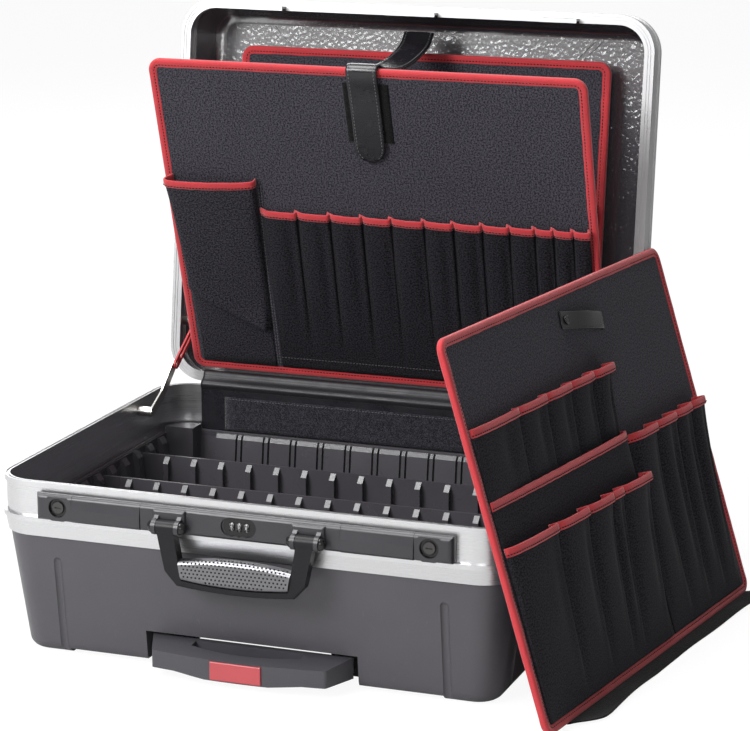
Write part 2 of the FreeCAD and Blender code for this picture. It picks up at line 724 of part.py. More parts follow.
def strip_end_plan(side):
    """Room for one end of the strip, round at its outer front corner."""
    end, start = side * STRIP_HALF_LENGTH, side * (LEVER_HALF_END - KEY_BOSS_RADIUS)
    round_x = end - side * STRIP_ROUND
    middle = Vector(round_x + side * STRIP_ROUND * math.sqrt(0.5),
                    STRIP_AXIS_Y - STRIP_ROUND * math.sqrt(0.5), 0)
    corner = Part.Arc(Vector(end, STRIP_AXIS_Y, 0), middle, Vector(round_x, STRIP_FRONT_Y, 0))
    back = [Vector(round_x, STRIP_FRONT_Y, 0), Vector(start, STRIP_FRONT_Y, 0),
            Vector(start, STRIP_BACK_Y, 0), Vector(end, STRIP_BACK_Y, 0),
            Vector(end, STRIP_AXIS_Y, 0)]
    lines = [Part.makeLine(a, b) for a, b in zip(back, back[1:])]
    return Part.Face(Part.Wire([corner.toShape()] + lines)).extrude(Vector(0, 0, RIM_HEIGHT))


def lock_cap(side):
    """An end cap of the lock strip, with its round key boss and recess."""
    x0, x1 = sorted((side * (LEVER_HALF_END + RUN_GAP), side * STRIP_HALF_LENGTH))
    cap = strip_section(x0, x1).common(strip_end_plan(side))
    centre_back = Vector(side * KEY_X, STRIP_BACK_Y, STRIP_MIDDLE)
    centre_front = Vector(side * KEY_X, STRIP_FRONT_Y - OVERRUN, STRIP_MIDDLE)
    boss = rod(KEY_BOSS_RADIUS, centre_back, Vector(side * KEY_X, STRIP_FRONT_Y, STRIP_MIDDLE))
    span = box(-CASE_WIDTH, CASE_WIDTH, STRIP_FRONT_Y - OVERRUN, STRIP_BACK_Y, STRIP_BOTTOM,
               STRIP_TOP - STRIP_EDGE)
    recess = rod(KEY_RECESS_RADIUS, Vector(side * KEY_X, STRIP_FRONT_Y + KEY_RECESS_DEPTH,
                                           STRIP_MIDDLE), centre_front)
    bore = rod(KEY_RADIUS + RUN_GAP, centre_back, centre_front)
    return fused([cap, boss.common(span)]).cut([recess, bore])


def key_cylinder(side):
    """A lock cylinder with its key slot."""
    back = Vector(side * KEY_X, STRIP_BACK_Y - SEAT_GAP, STRIP_MIDDLE)
    face_y = STRIP_FRONT_Y + KEY_RECESS_DEPTH - KEY_SLOT_DEPTH
    plug = rod(KEY_RADIUS, back, Vector(side * KEY_X, face_y, STRIP_MIDDLE))
    plug = plug.makeChamfer(SEAT_GAP, [edge for edge in plug.Edges
                                       if edge.BoundBox.YMax < face_y + SEAT_GAP])
    slot = box(side * KEY_X - KEY_SLOT_LENGTH / 2, side * KEY_X + KEY_SLOT_LENGTH / 2,
               face_y - OVERRUN, face_y + KEY_SLOT_DEPTH, STRIP_MIDDLE - KEY_SLOT_WIDTH / 2,
               STRIP_MIDDLE + KEY_SLOT_WIDTH / 2)
    return plug.cut(slot)


def latch_lever(side):
    """A latch lever: it turns about the round of its top edge."""
    x0, x1 = sorted((side * (RAIL_HALF_LENGTH + RUN_GAP), side * LEVER_HALF_END))
    return strip_section(x0, x1, STRIP_EDGE / 2)


def dial_axis(index):
    """The middle of one number dial."""
    x = (index - (DIAL_COUNT - 1) / 2) * DIAL_PITCH
    return Vector(x, STRIP_BACK_Y - DIAL_RADIUS - SEAT_GAP, STRIP_MIDDLE)


def dial(index):
    """A number dial with finger notches round its rim."""
    centre = dial_axis(index)
    half = Vector(DIAL_WIDTH / 2, 0, 0)
    wheel = rod(DIAL_RADIUS, centre - half, centre + half)
    notches = []
    for turn in range(DIAL_NOTCHES):
        angle = 2 * math.pi * (turn + 0.5) / DIAL_NOTCHES
        place = centre + Vector(0, math.cos(angle), math.sin(angle)) * DIAL_RADIUS
        notches.append(rod(DIAL_NOTCH, place - half * 2, place + half * 2))
    return wheel.cut(notches)


def handle_boss(x0, x1):
    """A boss of the rail that holds the handle's pivot."""
    barrel = rod(BOSS_RADIUS, Vector(x0, HANDLE_AXIS_Y, HANDLE_AXIS_Z),
                 Vector(x1, HANDLE_AXIS_Y, HANDLE_AXIS_Z))
    root = side_profile([(HANDLE_AXIS_Y, HANDLE_AXIS_Z + BOSS_RADIUS),
                         (STRIP_FRONT_Y + STRIP_EDGE, STRIP_AXIS_Z + STRIP_EDGE),
                         (STRIP_FRONT_Y + STRIP_EDGE, HANDLE_AXIS_Z - BOSS_RADIUS),
                         (HANDLE_AXIS_Y, HANDLE_AXIS_Z - BOSS_RADIUS)], x0, x1)
    return fused([barrel, root])


def handle_mound(side):
    """The rounded swelling of the rail behind one arm of the handle."""
    half = ARM_WIDTH / 2 + BOSS_LENGTH + MOUND_MARGIN
    x0, x1 = side * HANDLE_X - half, side * HANDLE_X + half
    front = STRIP_FRONT_Y - MOUND_PROUD
    top, foot = STRIP_TOP - STRIP_EDGE, STRIP_BOTTOM + STRIP_EDGE
    block = box(x0, x1, front, STRIP_FRONT_Y + STRIP_EDGE, foot, top)
    return filleted(block, MOUND_PROUD - SEAT_GAP, lambda edge: edge.BoundBox.YMax
                    < front + SEAT_GAP)


def lock_rail():
    """The middle of the lock strip: combination window, dial slots and handle bosses."""
    rail = strip_section(-RAIL_HALF_LENGTH, RAIL_HALF_LENGTH)
    arm = ARM_WIDTH / 2 + RUN_GAP
    bosses = []
    for side in (-1, 1):
        for edge in (-1, 1):
            x0, x1 = sorted((side * HANDLE_X + edge * arm,
                             side * HANDLE_X + edge * (arm + BOSS_LENGTH)))
            bosses.append(handle_boss(x0, x1))
        bosses.append(handle_mound(side))
    window = Part.makeBox(WINDOW_WIDTH - WINDOW_HEIGHT, WINDOW_DEPTH + OVERRUN, WINDOW_HEIGHT,
                          Vector(-(WINDOW_WIDTH - WINDOW_HEIGHT) / 2, STRIP_FRONT_Y - OVERRUN,
                                 STRIP_MIDDLE - WINDOW_HEIGHT / 2))
    cuts = [window]
    for side in (-1, 1):
        end = Vector(side * (WINDOW_WIDTH - WINDOW_HEIGHT) / 2, STRIP_FRONT_Y + WINDOW_DEPTH,
                     STRIP_MIDDLE)
        cuts.append(rod(WINDOW_HEIGHT / 2, end, end - Vector(0, WINDOW_DEPTH + OVERRUN, 0)))
        pivot = Vector(side * HANDLE_X, HANDLE_AXIS_Y, HANDLE_AXIS_Z)
        reach = Vector(ARM_WIDTH / 2 + RUN_GAP, 0, 0)
        cuts.append(rod(ARM_TOP_RADIUS + RUN_GAP, pivot - reach, pivot + reach))
        cuts.append(box(pivot.x - reach.x, pivot.x + reach.x, HANDLE_AXIS_Y,
                        HANDLE_AXIS_Y + ARM_THICKNESS / 2 + RUN_GAP, STRIP_BOTTOM - OVERRUN,
                        HANDLE_AXIS_Z))
        for end in (-1, 1):
            seat = pivot + reach * end + Vector(end * BOSS_LENGTH, 0, 0)
            cuts.append(rod(BOLT_RADIUS + SEAT_GAP, seat,
                            seat + Vector(end * (BOLT_HEAD + SEAT_GAP), 0, 0)))
    slot_half = Vector(DIAL_WIDTH / 2 + RUN_GAP, 0, 0)
    for index in range(DIAL_COUNT):
        centre = dial_axis(index)
        cuts.append(rod(DIAL_RADIUS + RUN_GAP, centre - slot_half, centre + slot_half))
    return fused([rail] + bosses).cut(cuts)


def handle_bolts():
    """Domed heads of the handle's pivot bolts, on both ends of each pivot."""
    heads = []
    reach = ARM_WIDTH / 2 + RUN_GAP + BOSS_LENGTH
    for side in (-1, 1):
        for end in (-1, 1):
            x = side * HANDLE_X + end * reach
            ball = Part.makeSphere(BOLT_RADIUS, Vector(x, HANDLE_AXIS_Y, HANDLE_AXIS_Z))
            x0, x1 = sorted((x + end * SEAT_GAP, x + end * BOLT_HEAD))
            keep = box(x0, x1, HANDLE_AXIS_Y - BOLT_RADIUS, HANDLE_AXIS_Y + BOLT_RADIUS,
                       HANDLE_AXIS_Z - BOLT_RADIUS, HANDLE_AXIS_Z + BOLT_RADIUS)
            heads.append(ball.common(keep))
    return Part.makeCompound(heads)


def front_outline(points, bows):
    """A symmetric front outline from right-hand points. A span listed in bows, counted from
    the first point, is an arc raised by that much."""
    corners = points + [(-x, z) for x, z in points[::-1]]
    edges = []
    for index, (x, z) in enumerate(corners):
        after = corners[(index + 1) % len(corners)]
        start, end = Vector(x, 0, z), Vector(after[0], 0, after[1])
        if index in bows:
            middle = (start + end) / 2 + Vector(0, 0, bows[index])
            edges.append(Part.Arc(start, middle, end).toShape())
        else:
            edges.append(Part.makeLine(start, end))
    return Part.Face(Part.Wire(edges))


def handle_inner_half(drop):
    """Half the width between the handle's arms, at a drop under the pivot."""
    share = (drop - BOSS_RADIUS) / (HANDLE_INNER_DROP - BOSS_RADIUS)
    top_half = HANDLE_X - ARM_WIDTH / 2
    return top_half + (HANDLE_INNER_HALF - top_half) * share


def carry_handle():
    """The handle, hanging down: two arms and a thin bowed bar that carries the grip."""
    top_half = HANDLE_X + ARM_WIDTH / 2
    inner_top = HANDLE_X - ARM_WIDTH / 2
    outer = front_outline([(top_half, HANDLE_AXIS_Z),
                           (HANDLE_SHOULDER_HALF, HANDLE_AXIS_Z - HANDLE_SHOULDER_DROP),
                           (HANDLE_FOOT_HALF, HANDLE_AXIS_Z - HANDLE_DROP)],
                          {2: -HANDLE_BOW})
    inner = front_outline([(inner_top, HANDLE_AXIS_Z + BOSS_RADIUS + OVERRUN),
                           (inner_top, HANDLE_AXIS_Z - BOSS_RADIUS),
                           (HANDLE_INNER_HALF, HANDLE_AXIS_Z - HANDLE_INNER_DROP)],
                          {2: -HANDLE_BOW})
    bow = outer.extrude(Vector(0, ARM_THICKNESS, 0))
    bow = filleted(bow, STRIP_EDGE, lambda edge: edge.BoundBox.YLength < SEAT_GAP
                   and edge.BoundBox.ZMax < HANDLE_AXIS_Z - SEAT_GAP)
    inner.translate(Vector(0, -OVERRUN, 0))
    bow = bow.cut(inner.extrude(Vector(0, ARM_THICKNESS + 2 * OVERRUN, 0)))
    bow.translate(Vector(0, HANDLE_AXIS_Y - ARM_THICKNESS / 2, 0))
    pieces = [bow]
    for side in (-1, 1):
        x0, x1 = sorted((side * inner_top, side * top_half))
        pieces.append(rod(ARM_TOP_RADIUS, Vector(x0, HANDLE_AXIS_Y, HANDLE_AXIS_Z),
                          Vector(x1, HANDLE_AXIS_Y, HANDLE_AXIS_Z)))
    return fused(pieces)


def handle_grip():
    """The grip between the arms: crowned on top, bowed below, its long edges rounded."""
    foot_drop = HANDLE_INNER_DROP - BINDING_SEAT
    outline = front_outline([(handle_inner_half(GRIP_TOP_DROP) - BINDING_SEAT,
                              HANDLE_AXIS_Z - GRIP_TOP_DROP),
                             (handle_inner_half(foot_drop) - BINDING_SEAT,
                              HANDLE_AXIS_Z - foot_drop)],
                            {1: -HANDLE_BOW, 3: GRIP_CROWN})
    bar = outline.extrude(Vector(0, GRIP_THICKNESS, 0))
    bar.translate(Vector(0, HANDLE_AXIS_Y - GRIP_THICKNESS / 2, 0))
    return filleted(bar, GRIP_THICKNESS / 3, lambda edge: edge.BoundBox.YLength < SEAT_GAP
                    and edge.BoundBox.XLength > HANDLE_INNER_HALF)


# Trolley

def tube(stage, front, rear):
    """One rectangular tube of a stage; stage 0 is the outermost."""
    shrink = 2 * stage * (TUBE_WALL + TUBE_GAP)
    width, height = TUBE_WIDTH - shrink, TUBE_HEIGHT - shrink
    radius = max(TUBE_RADIUS - stage, TUBE_WALL / 2)
    outer = corner_rect(width, height, radius, 0.0)
    inner = corner_rect(width - 2 * TUBE_WALL, height - 2 * TUBE_WALL,
                        max(radius - TUBE_WALL, TUBE_WALL / 4), 0.0)
    section = Part.Face(outer).cut(Part.Face(inner))
    solid = section.extrude(Vector(0, 0, rear - front))
    solid.rotate(Vector(0, 0, 0), X_AXIS, -90)
    solid.translate(Vector(TUBE_X, front, TUBE_Z))
    return solid


def tube_pair(stage):
    """Both tubes of one stage; each inner stage starts a step further forward."""
    front = TUBE_FRONT - stage * STAGE_STEP
    return both_sides(tube(stage, front, TUBE_REAR - stage * STAGE_STEP))


def tube_clamps():
    """Brackets that hold the outer tubes up in the channel, front and rear."""
    clamps = []
    half = TUBE_WIDTH / 2 + SEAT_GAP
    top, foot = TUBE_Z + TUBE_HEIGHT / 2 + SEAT_GAP, TUBE_Z - TUBE_HEIGHT / 2 - SEAT_GAP
    for start in (TUBE_FRONT + STAGE_STEP, TUBE_REAR - STAGE_STEP - TUBE_CLAMP_LENGTH):
        block = box(TUBE_X - half - TUBE_CLAMP_WALL, CHANNEL_WIDTH / 2 - SEAT_GAP, start,
                    start + TUBE_CLAMP_LENGTH, foot - TUBE_CLAMP_WALL, CHANNEL_HEIGHT - SEAT_GAP)
        bore = box(TUBE_X - half, TUBE_X + half, start - OVERRUN,
                   start + TUBE_CLAMP_LENGTH + OVERRUN, foot, top)
        clamps.append(both_sides(block.cut(bore)))
    return Part.makeCompound([solid for clamp in clamps for solid in clamp.Solids])


def pull_plan(top, back_half, front_half, front_y, end_y):
    """The trolley grip's plan outline: bowed front, angled ends, straight back."""
    corners = [Vector(front_half, end_y, top), Vector(back_half, PULL_BACK_Y, top),
               Vector(-back_half, PULL_BACK_Y, top), Vector(-front_half, end_y, top)]
    bow = Part.Arc(corners[3], Vector(0, front_y, top), corners[0]).toShape()
    lines = [Part.makeLine(corners[index], corners[index + 1]) for index in range(3)]
    return Part.Face(Part.Wire([bow] + lines))


def trolley_grip():
    """The pull-out grip: a bowed bar that swells at the button, a finger opening, tube sockets."""
    height = PULL_TOP + PULL_RISE - PULL_BOTTOM + 2 * PULL_BULGE
    block = pull_plan(PULL_BOTTOM - PULL_BULGE, PULL_BACK_HALF, PULL_HALF, PULL_FRONT_Y,
                      PULL_END_Y).extrude(Vector(0, 0, height))
    block = filleted(block, PULL_EDGE * 2, lambda edge: edge.BoundBox.ZLength > height / 2
                     and edge.BoundBox.YMax < (PULL_END_Y + PULL_BACK_Y) / 2)
    face_y = PULL_FRONT_Y - OVERRUN
    deep = PULL_BACK_Y - face_y + OVERRUN
    wide = PULL_BACK_HALF + OVERRUN
    under = [Vector(-wide, face_y, PULL_BOTTOM), Vector(-PULL_BULGE_HALF * 2, face_y, PULL_BOTTOM),
             Vector(-PULL_BULGE_HALF, face_y, PULL_BOTTOM - PULL_BULGE),
             Vector(PULL_BULGE_HALF, face_y, PULL_BOTTOM - PULL_BULGE),
             Vector(PULL_BULGE_HALF * 2, face_y, PULL_BOTTOM), Vector(wide, face_y, PULL_BOTTOM),
             Vector(wide, face_y, -PULL_BULGE), Vector(-wide, face_y, -PULL_BULGE)]
    top_front, top_back = PULL_TOP, PULL_TOP + PULL_RISE
    over = side_profile([(face_y, top_front), (PULL_BACK_Y + OVERRUN, top_back),
                         (PULL_BACK_Y + OVERRUN, top_back + height), (face_y, top_back + height)],
                        -wide, wide)
    finger = [Vector(-FINGER_HALF, FINGER_BACK_Y, 0), Vector(FINGER_HALF, FINGER_BACK_Y, 0)]
    lens = Part.Face(Part.Wire([
        Part.makeLine(finger[0], finger[1]),
        Part.makeLine(finger[1], Vector(FINGER_HALF, FINGER_FRONT_Y, 0)),
        Part.Arc(Vector(FINGER_HALF, FINGER_FRONT_Y, 0),
                 Vector(0, FINGER_FRONT_Y - FINGER_BOW, 0),
                 Vector(-FINGER_HALF, FINGER_FRONT_Y, 0)).toShape(),
        Part.makeLine(Vector(-FINGER_HALF, FINGER_FRONT_Y, 0), finger[0])]))
    opening = lens.extrude(Vector(0, 0, top_back + OVERRUN))
    grip = block.cut([prism(under, Vector(0, deep, 0)), over, opening, button_pocket()])
    return grip.cut([tube_space(side) for side in (-1, 1)])


def tube_space(side):
    """The socket in the grip for the end of an inner tube."""
    shrink = 4 * (TUBE_WALL + TUBE_GAP)
    half_x = (TUBE_WIDTH - shrink) / 2 + BINDING_SEAT
    half_z = (TUBE_HEIGHT - shrink) / 2 + BINDING_SEAT
    return box(side * TUBE_X - half_x, side * TUBE_X + half_x, inner_tube_front() - BINDING_SEAT,
               REAR_Y, TUBE_Z - half_z, TUBE_Z + half_z)


def inner_tube_front():
    """Where the innermost tubes end inside the grip."""
    return PULL_BACK_Y - 2 * STAGE_STEP


def inner_tubes():
    """The innermost tubes, seated in the grip."""
    return both_sides(tube(2, inner_tube_front(), TUBE_REAR - 2 * STAGE_STEP))


def button_pocket():
    """The pocket in the grip's front for the release button."""
    half = BUTTON_HALF + RUN_GAP
    middle = (PULL_TOP + PULL_BOTTOM - PULL_BULGE) / 2
    return box(-half, half, PULL_FRONT_Y - OVERRUN,
               PULL_FRONT_Y + BUTTON_DEPTH + BUTTON_TRAVEL + RUN_GAP,
               middle - BUTTON_HEIGHT / 2 - RUN_GAP, middle + BUTTON_HEIGHT / 2 + RUN_GAP)


def trolley_button():
    """The release button, a little proud of the grip."""
    middle = (PULL_TOP + PULL_BOTTOM - PULL_BULGE) / 2
    body = box(-BUTTON_HALF, BUTTON_HALF, PULL_FRONT_Y - BUTTON_PROUD,
               PULL_FRONT_Y + BUTTON_DEPTH, middle - BUTTON_HEIGHT / 2,
               middle + BUTTON_HEIGHT / 2)
    return filleted(body, BUTTON_PROUD, lambda edge: edge.BoundBox.YMax
                    < PULL_FRONT_Y - BUTTON_PROUD + SEAT_GAP)


# Wheels

def wheel(side):
    """A wheel with a dished hub and a tread groove each side of its middle."""
    half = WHEEL_WIDTH / 2
    rim = WHEEL_RADIUS
    hub = WHEEL_HUB_RADIUS
    bore = AXLE_RADIUS + AXLE_GAP
    dish = WHEEL_GROOVE * 2
    outline = [(bore, -half + dish), (hub, -half + dish), (hub + dish, -half),
               (rim - WHEEL_GROOVE, -half), (rim, -half + WHEEL_GROOVE),
               (rim, half - WHEEL_GROOVE), (rim - WHEEL_GROOVE, half), (hub + dish, half),
               (hub, half - dish), (bore, half - dish)]
    points = [Vector(x, 0, radius) for radius, x in outline]
    face = Part.Face(Part.makePolygon(points + [points[0]]))
    body = face.revolve(Vector(0, 0, 0), X_AXIS, 360)
    body.translate(Vector(side * WHEEL_X, WHEEL_Y, WHEEL_Z))
    return body


def wheel_axles():
    """The axles, from one wall of each wheel house to the other."""
    half = WHEEL_WIDTH / 2 + WELL_GAP - SEAT_GAP
    axle = wheel_round(AXLE_RADIUS, half, WHEEL_X)
    return [axle, mirrored(axle)]


# Lid, built shut and then swung open about the hinge axis

def lid_tapered(levels):
    """A solid through plan outlines whose heights are measured up from the lid's rim plane."""
    return tapered([(RIM_PLANE + level[0],) + tuple(level[1:]) for level in levels])


def lid_frame():
    """The lid's rim extrusion: a wide lip, a band, and a bead over the lid shell's edge."""
    bead = LID_FRAME_HEIGHT - LID_BEAD_HEIGHT
    outer = fused([lid_tapered([(0.0, LIP_INSET), (LIP_HEIGHT, LIP_INSET)]),
                   lid_tapered([(LIP_HEIGHT, BAND_INSET), (bead, BAND_INSET)]),
                   lid_tapered([(bead, LIP_INSET), (LID_FRAME_HEIGHT, LIP_INSET)])])
    lip = lid_tapered([(-OVERRUN, LID_LIP_INSET), (LID_LIP_THICKNESS, LID_LIP_INSET)])
    start = LID_FRAME_HEIGHT - LID_SOCKET
    hollow = lid_tapered([(LID_LIP_THICKNESS, FRAME_WALL), (start, FRAME_WALL)])
    socket_inset = LID_SHELL_INSET - SEAT_GAP
    socket = lid_tapered([(start, socket_inset),
                          (LID_FRAME_HEIGHT + OVERRUN, socket_inset)])
    grooves = []
    for number in (1, 2):
        inset = LIP_INSET + number * RIM_GROOVE_INSET
        grooves.append(lid_tapered([(-OVERRUN, inset), (RIM_GROOVE_DEPTH / 2, inset)]).cut(
            lid_tapered([(-OVERRUN, inset + RIM_GROOVE_WIDTH / 2),
                         (RIM_GROOVE_DEPTH / 2, inset + RIM_GROOVE_WIDTH / 2)])))
    return outer.cut([lip, hollow, socket] + grooves + hinge_notches())


def chevron(x, side, z, height):
    """A raised arrow-shaped ridge on the lid's top, as two leaning bars."""
    run, wide = CHEVRON_RUN * side, CHEVRON_WIDTH
    y = -CHEVRON_T
    points = [Vector(x, y, z), Vector(x + run, y + CHEVRON_RUN, z),
              Vector(x, y + 2 * CHEVRON_RUN, z), Vector(x + wide, y + 2 * CHEVRON_RUN, z),
              Vector(x + run + wide, y + CHEVRON_RUN, z), Vector(x + wide, y, z)]
    return prism(points, Vector(0, 0, height))


def lid_shell():
    """The lid's moulded shell, with flutes beside its corners and chevrons on its top."""
    start = LID_FRAME_HEIGHT - LID_SOCKET + SEAT_GAP
    foot_inset = LID_SHELL_INSET
    top_inset = LID_SHELL_INSET + LID_SHELL_DRAFT
    outer = lid_tapered([(start, foot_inset), (LID_FRAME_HEIGHT, foot_inset),
                         (LID_HEIGHT, top_inset)])
    top_z = RIM_PLANE + LID_HEIGHT
    outer = filleted(outer, LID_SHELL_EDGE, lambda edge: edge.BoundBox.ZMin > top_z - SEAT_GAP)
    wall = LID_SHELL_WALL
    inner = lid_tapered([(start - OVERRUN, foot_inset + wall),
                         (LID_FRAME_HEIGHT, foot_inset + wall),
                         (LID_HEIGHT - wall, top_inset + wall)])
    inner = filleted(inner, LID_SHELL_EDGE - wall,
                     lambda edge: edge.BoundBox.ZMin > top_z - wall - SEAT_GAP)
    flutes = []
    for sx in (-1, 1):
        for sy in (-1, 1):
            y = sy * (REAR_Y - LID_FLUTE_FROM_END)
            radius = (FLUTE_WIDTH ** 2 / 4 + FLUTE_DEPTH ** 2) / (2 * FLUTE_DEPTH)
            sink = radius - FLUTE_DEPTH
            low = Vector(sx * (SIDE_X - foot_inset + sink), y,
                         RIM_PLANE + LID_FRAME_HEIGHT + 2 * FLUTE_DEPTH)
            high = Vector(sx * (SIDE_X - top_inset + sink), y, top_z + OVERRUN)
            flutes.append(rod(radius, low, high).fuse(Part.makeSphere(radius, low)))
    ridges, grooves = [], []
    for side in (-1, 1):
        for number in (0, 1):
            x = side * (CHEVRON_X - number * CHEVRON_PITCH)
            x = x - CHEVRON_WIDTH if side > 0 else x
            ridges.append(chevron(x, -side, top_z - wall - CHEVRON_HEIGHT,
                                  CHEVRON_HEIGHT + SEAT_GAP))
            grooves.append(chevron(x, -side, top_z - CHEVRON_HEIGHT, CHEVRON_HEIGHT + OVERRUN))
    return fused([outer.cut([inner] + flutes + grooves)] + ridges)


def lid_catches():
    """Three hooked catches inside the lid's front edge, which drop behind the lock strip."""
    y_out = FRONT_Y + FRAME_WALL + CATCH_GAP
    catches = []
    low = RIM_PLANE - CATCH_DROP
    for x, width in zip(CATCH_XS, CATCH_WIDTHS):
        stem = box(x - width / 2, x + width / 2, y_out, y_out + CATCH_WALL, low,
                   RIM_PLANE + CATCH_ROOT)
        hook = side_profile([(y_out + CATCH_WALL, low), (y_out + CATCH_WALL + CATCH_HOOK, low),
                             (y_out + CATCH_WALL, low + CATCH_HOOK)], x - width / 2,
                            x + width / 2)
        catches.append(fused([stem, hook]))
    return catches


def lid_frame_with_catch_slots():
    """The lid frame, slotted where its catches pass through the lip."""
    y_out = FRONT_Y + FRAME_WALL + CATCH_GAP
    slots = [box(x - width / 2 - SEAT_GAP, x + width / 2 + SEAT_GAP, y_out - SEAT_GAP,
                 FRONT_Y + LID_LIP_INSET + OVERRUN, RIM_PLANE - OVERRUN,
                 RIM_PLANE + LID_LIP_THICKNESS + OVERRUN)
             for x, width in zip(CATCH_XS, CATCH_WIDTHS)]
    return lid_frame().cut(slots)


def swung_open(shape):
    """A piece of the lid at the open rest pose."""
    turned = shape.copy()
    turned.rotate(Vector(0, HINGE_Y, HINGE_Z), X_AXIS, -LID_ANGLE)
    return turned


# Hinges

def knuckle_spans(own):
    """The stretches of each hinge's barrel that belong to the base or to the lid."""
    spans = []
    for x in HINGE_XS:
        for number in range(3):
            start = x - HINGE_WIDTH / 2 + number * HINGE_KNUCKLE
            if (number % 2 == 0) == (own == "base"):
                spans.append((start + RUN_GAP / 2, start + HINGE_KNUCKLE - RUN_GAP / 2))
    return spans


def hinge_notches():
    """Room for the barrels in the two rims."""
    reach = HINGE_BARREL + RUN_GAP
    return [rod(reach, Vector(x - HINGE_WIDTH / 2 - RUN_GAP, HINGE_Y, HINGE_Z),
                Vector(x + HINGE_WIDTH / 2 + RUN_GAP, HINGE_Y, HINGE_Z)) for x in HINGE_XS]


def hinge_leaves(own):
    """The leaves and knuckles on one side of the hinge line, in the shut position."""
    face = REAR_Y - BAND_INSET + SEAT_GAP
    pin_bore = HINGE_PIN + PIN_GAP
    leaves = []
    for x0, x1 in knuckle_spans(own):
        barrel = rod(HINGE_BARREL, Vector(x0, HINGE_Y, HINGE_Z), Vector(x1, HINGE_Y, HINGE_Z))
        if own == "base":
            low, high = HINGE_Z - HINGE_LEAF_HEIGHT, HINGE_Z
        else:
            low, high = HINGE_Z, HINGE_Z + HINGE_LEAF_HEIGHT
        outer = REAR_Y - LIP_INSET + SEAT_GAP
        if own == "base":
            leaf = side_profile([(face, low), (face + HINGE_LEAF, low),
                                 (face + HINGE_LEAF, BAND_TOP - HINGE_LEAF * 2),
                                 (outer + HINGE_LEAF, BAND_TOP),
                                 (outer + HINGE_LEAF, high), (outer, high),
                                 (outer, BAND_TOP - SEAT_GAP),
                                 (face, BAND_TOP - HINGE_LEAF * 2 - SEAT_GAP)], x0, x1)
        else:
            lip = RIM_PLANE + LIP_HEIGHT
            leaf = side_profile([(face, high), (face + HINGE_LEAF, high),
                                 (face + HINGE_LEAF, lip + HINGE_LEAF * 2),
                                 (outer + HINGE_LEAF, lip), (outer + HINGE_LEAF, low),
                                 (outer, low), (outer, lip + SEAT_GAP),
                                 (face, lip + HINGE_LEAF * 2 + SEAT_GAP)], x0, x1)
        bore = rod(pin_bore, Vector(x0 - OVERRUN, HINGE_Y, HINGE_Z),
                   Vector(x1 + OVERRUN, HINGE_Y, HINGE_Z))
        leaves.append(fused([barrel, leaf]).cut(bore))
    return leaves


def hinge_pins():
    """The pins, held in the base's knuckles."""
    pins = []
    for x in HINGE_XS:
        pins.append(rod(HINGE_PIN, Vector(x - HINGE_WIDTH / 2 + RUN_GAP, HINGE_Y, HINGE_Z),
                        Vector(x + HINGE_WIDTH / 2 - RUN_GAP, HINGE_Y, HINGE_Z)))
    return pins


# Lid stays

def lid_point(t, d):
    """A point of the open lid: t along it from the hinge, d behind its rim plane."""
    a = math.radians(LID_ANGLE - 90)
    rise = RIM_PLANE - HINGE_Z
    return (HINGE_Y + t * math.sin(a) + (d + rise) * math.cos(a),
            HINGE_Z + t * math.cos(a) - (d + rise) * math.sin(a))


def shut_point(t, d):
    """The same point of the lid when it is shut."""
    return (HINGE_Y - t, RIM_PLANE + d)


def stay_lengths():
    """Lengths of the lower and the upper arm, pivot to pivot."""
    lid_y, lid_z = lid_point(STAY_LID_T, STAY_LID_D)
    lower = math.hypot(STAY_ELBOW_Y - STAY_BASE_Y, STAY_ELBOW_Z - STAY_BASE_Z)
    upper = math.hypot(lid_y - STAY_ELBOW_Y, lid_z - STAY_ELBOW_Z)
    return lower, upper


def stay_turns():
    """Degrees that the lower arm, and the upper arm against the lid, turn as the lid shuts."""
    lower, upper = stay_lengths()
    lid_y, lid_z = lid_point(STAY_LID_T, STAY_LID_D)
    shut_y, shut_z = shut_point(STAY_LID_T, STAY_LID_D)
    base_to_lid = math.hypot(shut_y - STAY_BASE_Y, shut_z - STAY_BASE_Z)
    cosine = (lower ** 2 + base_to_lid ** 2 - upper ** 2) / (2 * lower * base_to_lid)
    line = math.atan2(shut_z - STAY_BASE_Z, shut_y - STAY_BASE_Y)
    folded = line - math.acos(max(-1.0, min(1.0, cosine)))
    rest = math.atan2(STAY_ELBOW_Z - STAY_BASE_Z, STAY_ELBOW_Y - STAY_BASE_Y)
    elbow_y = STAY_BASE_Y + lower * math.cos(folded)
    elbow_z = STAY_BASE_Z + lower * math.sin(folded)
    upper_rest = math.atan2(STAY_ELBOW_Z - lid_z, STAY_ELBOW_Y - lid_y)
    upper_shut = math.atan2(elbow_z - shut_z, elbow_y - shut_y)
    against_lid = (math.degrees(upper_shut - upper_rest) - LID_ANGLE + 180) % 360 - 180
    return math.degrees(rest - folded), -against_lid


def link_plate(path, x, thickness):
    """A flat link along (y, z) points with round ends, from x outwards by its thickness."""
    half = STAY_WIDTH / 2
    pieces = []
    for start, end in zip(path, path[1:]):
        run = math.hypot(end[0] - start[0], end[1] - start[1])
        side = ((end[1] - start[1]) / run * half, -(end[0] - start[0]) / run * half)
        pieces.append(side_profile([(start[0] + side[0], start[1] + side[1]),
                                    (end[0] + side[0], end[1] + side[1]),
                                    (end[0] - side[0], end[1] - side[1]),
                                    (start[0] - side[0], start[1] - side[1])],
                                   x, x + thickness))
    for y, z in path:
        pieces.append(rod(half, Vector(x, y, z), Vector(x + thickness, y, z)))
    return fused(pieces)


def eye(y, z, x):
    """A pivot hole through a link."""
    return rod(STAY_EYE, Vector(x - STAY_WIDTH, y, z), Vector(x + STAY_WIDTH, y, z))


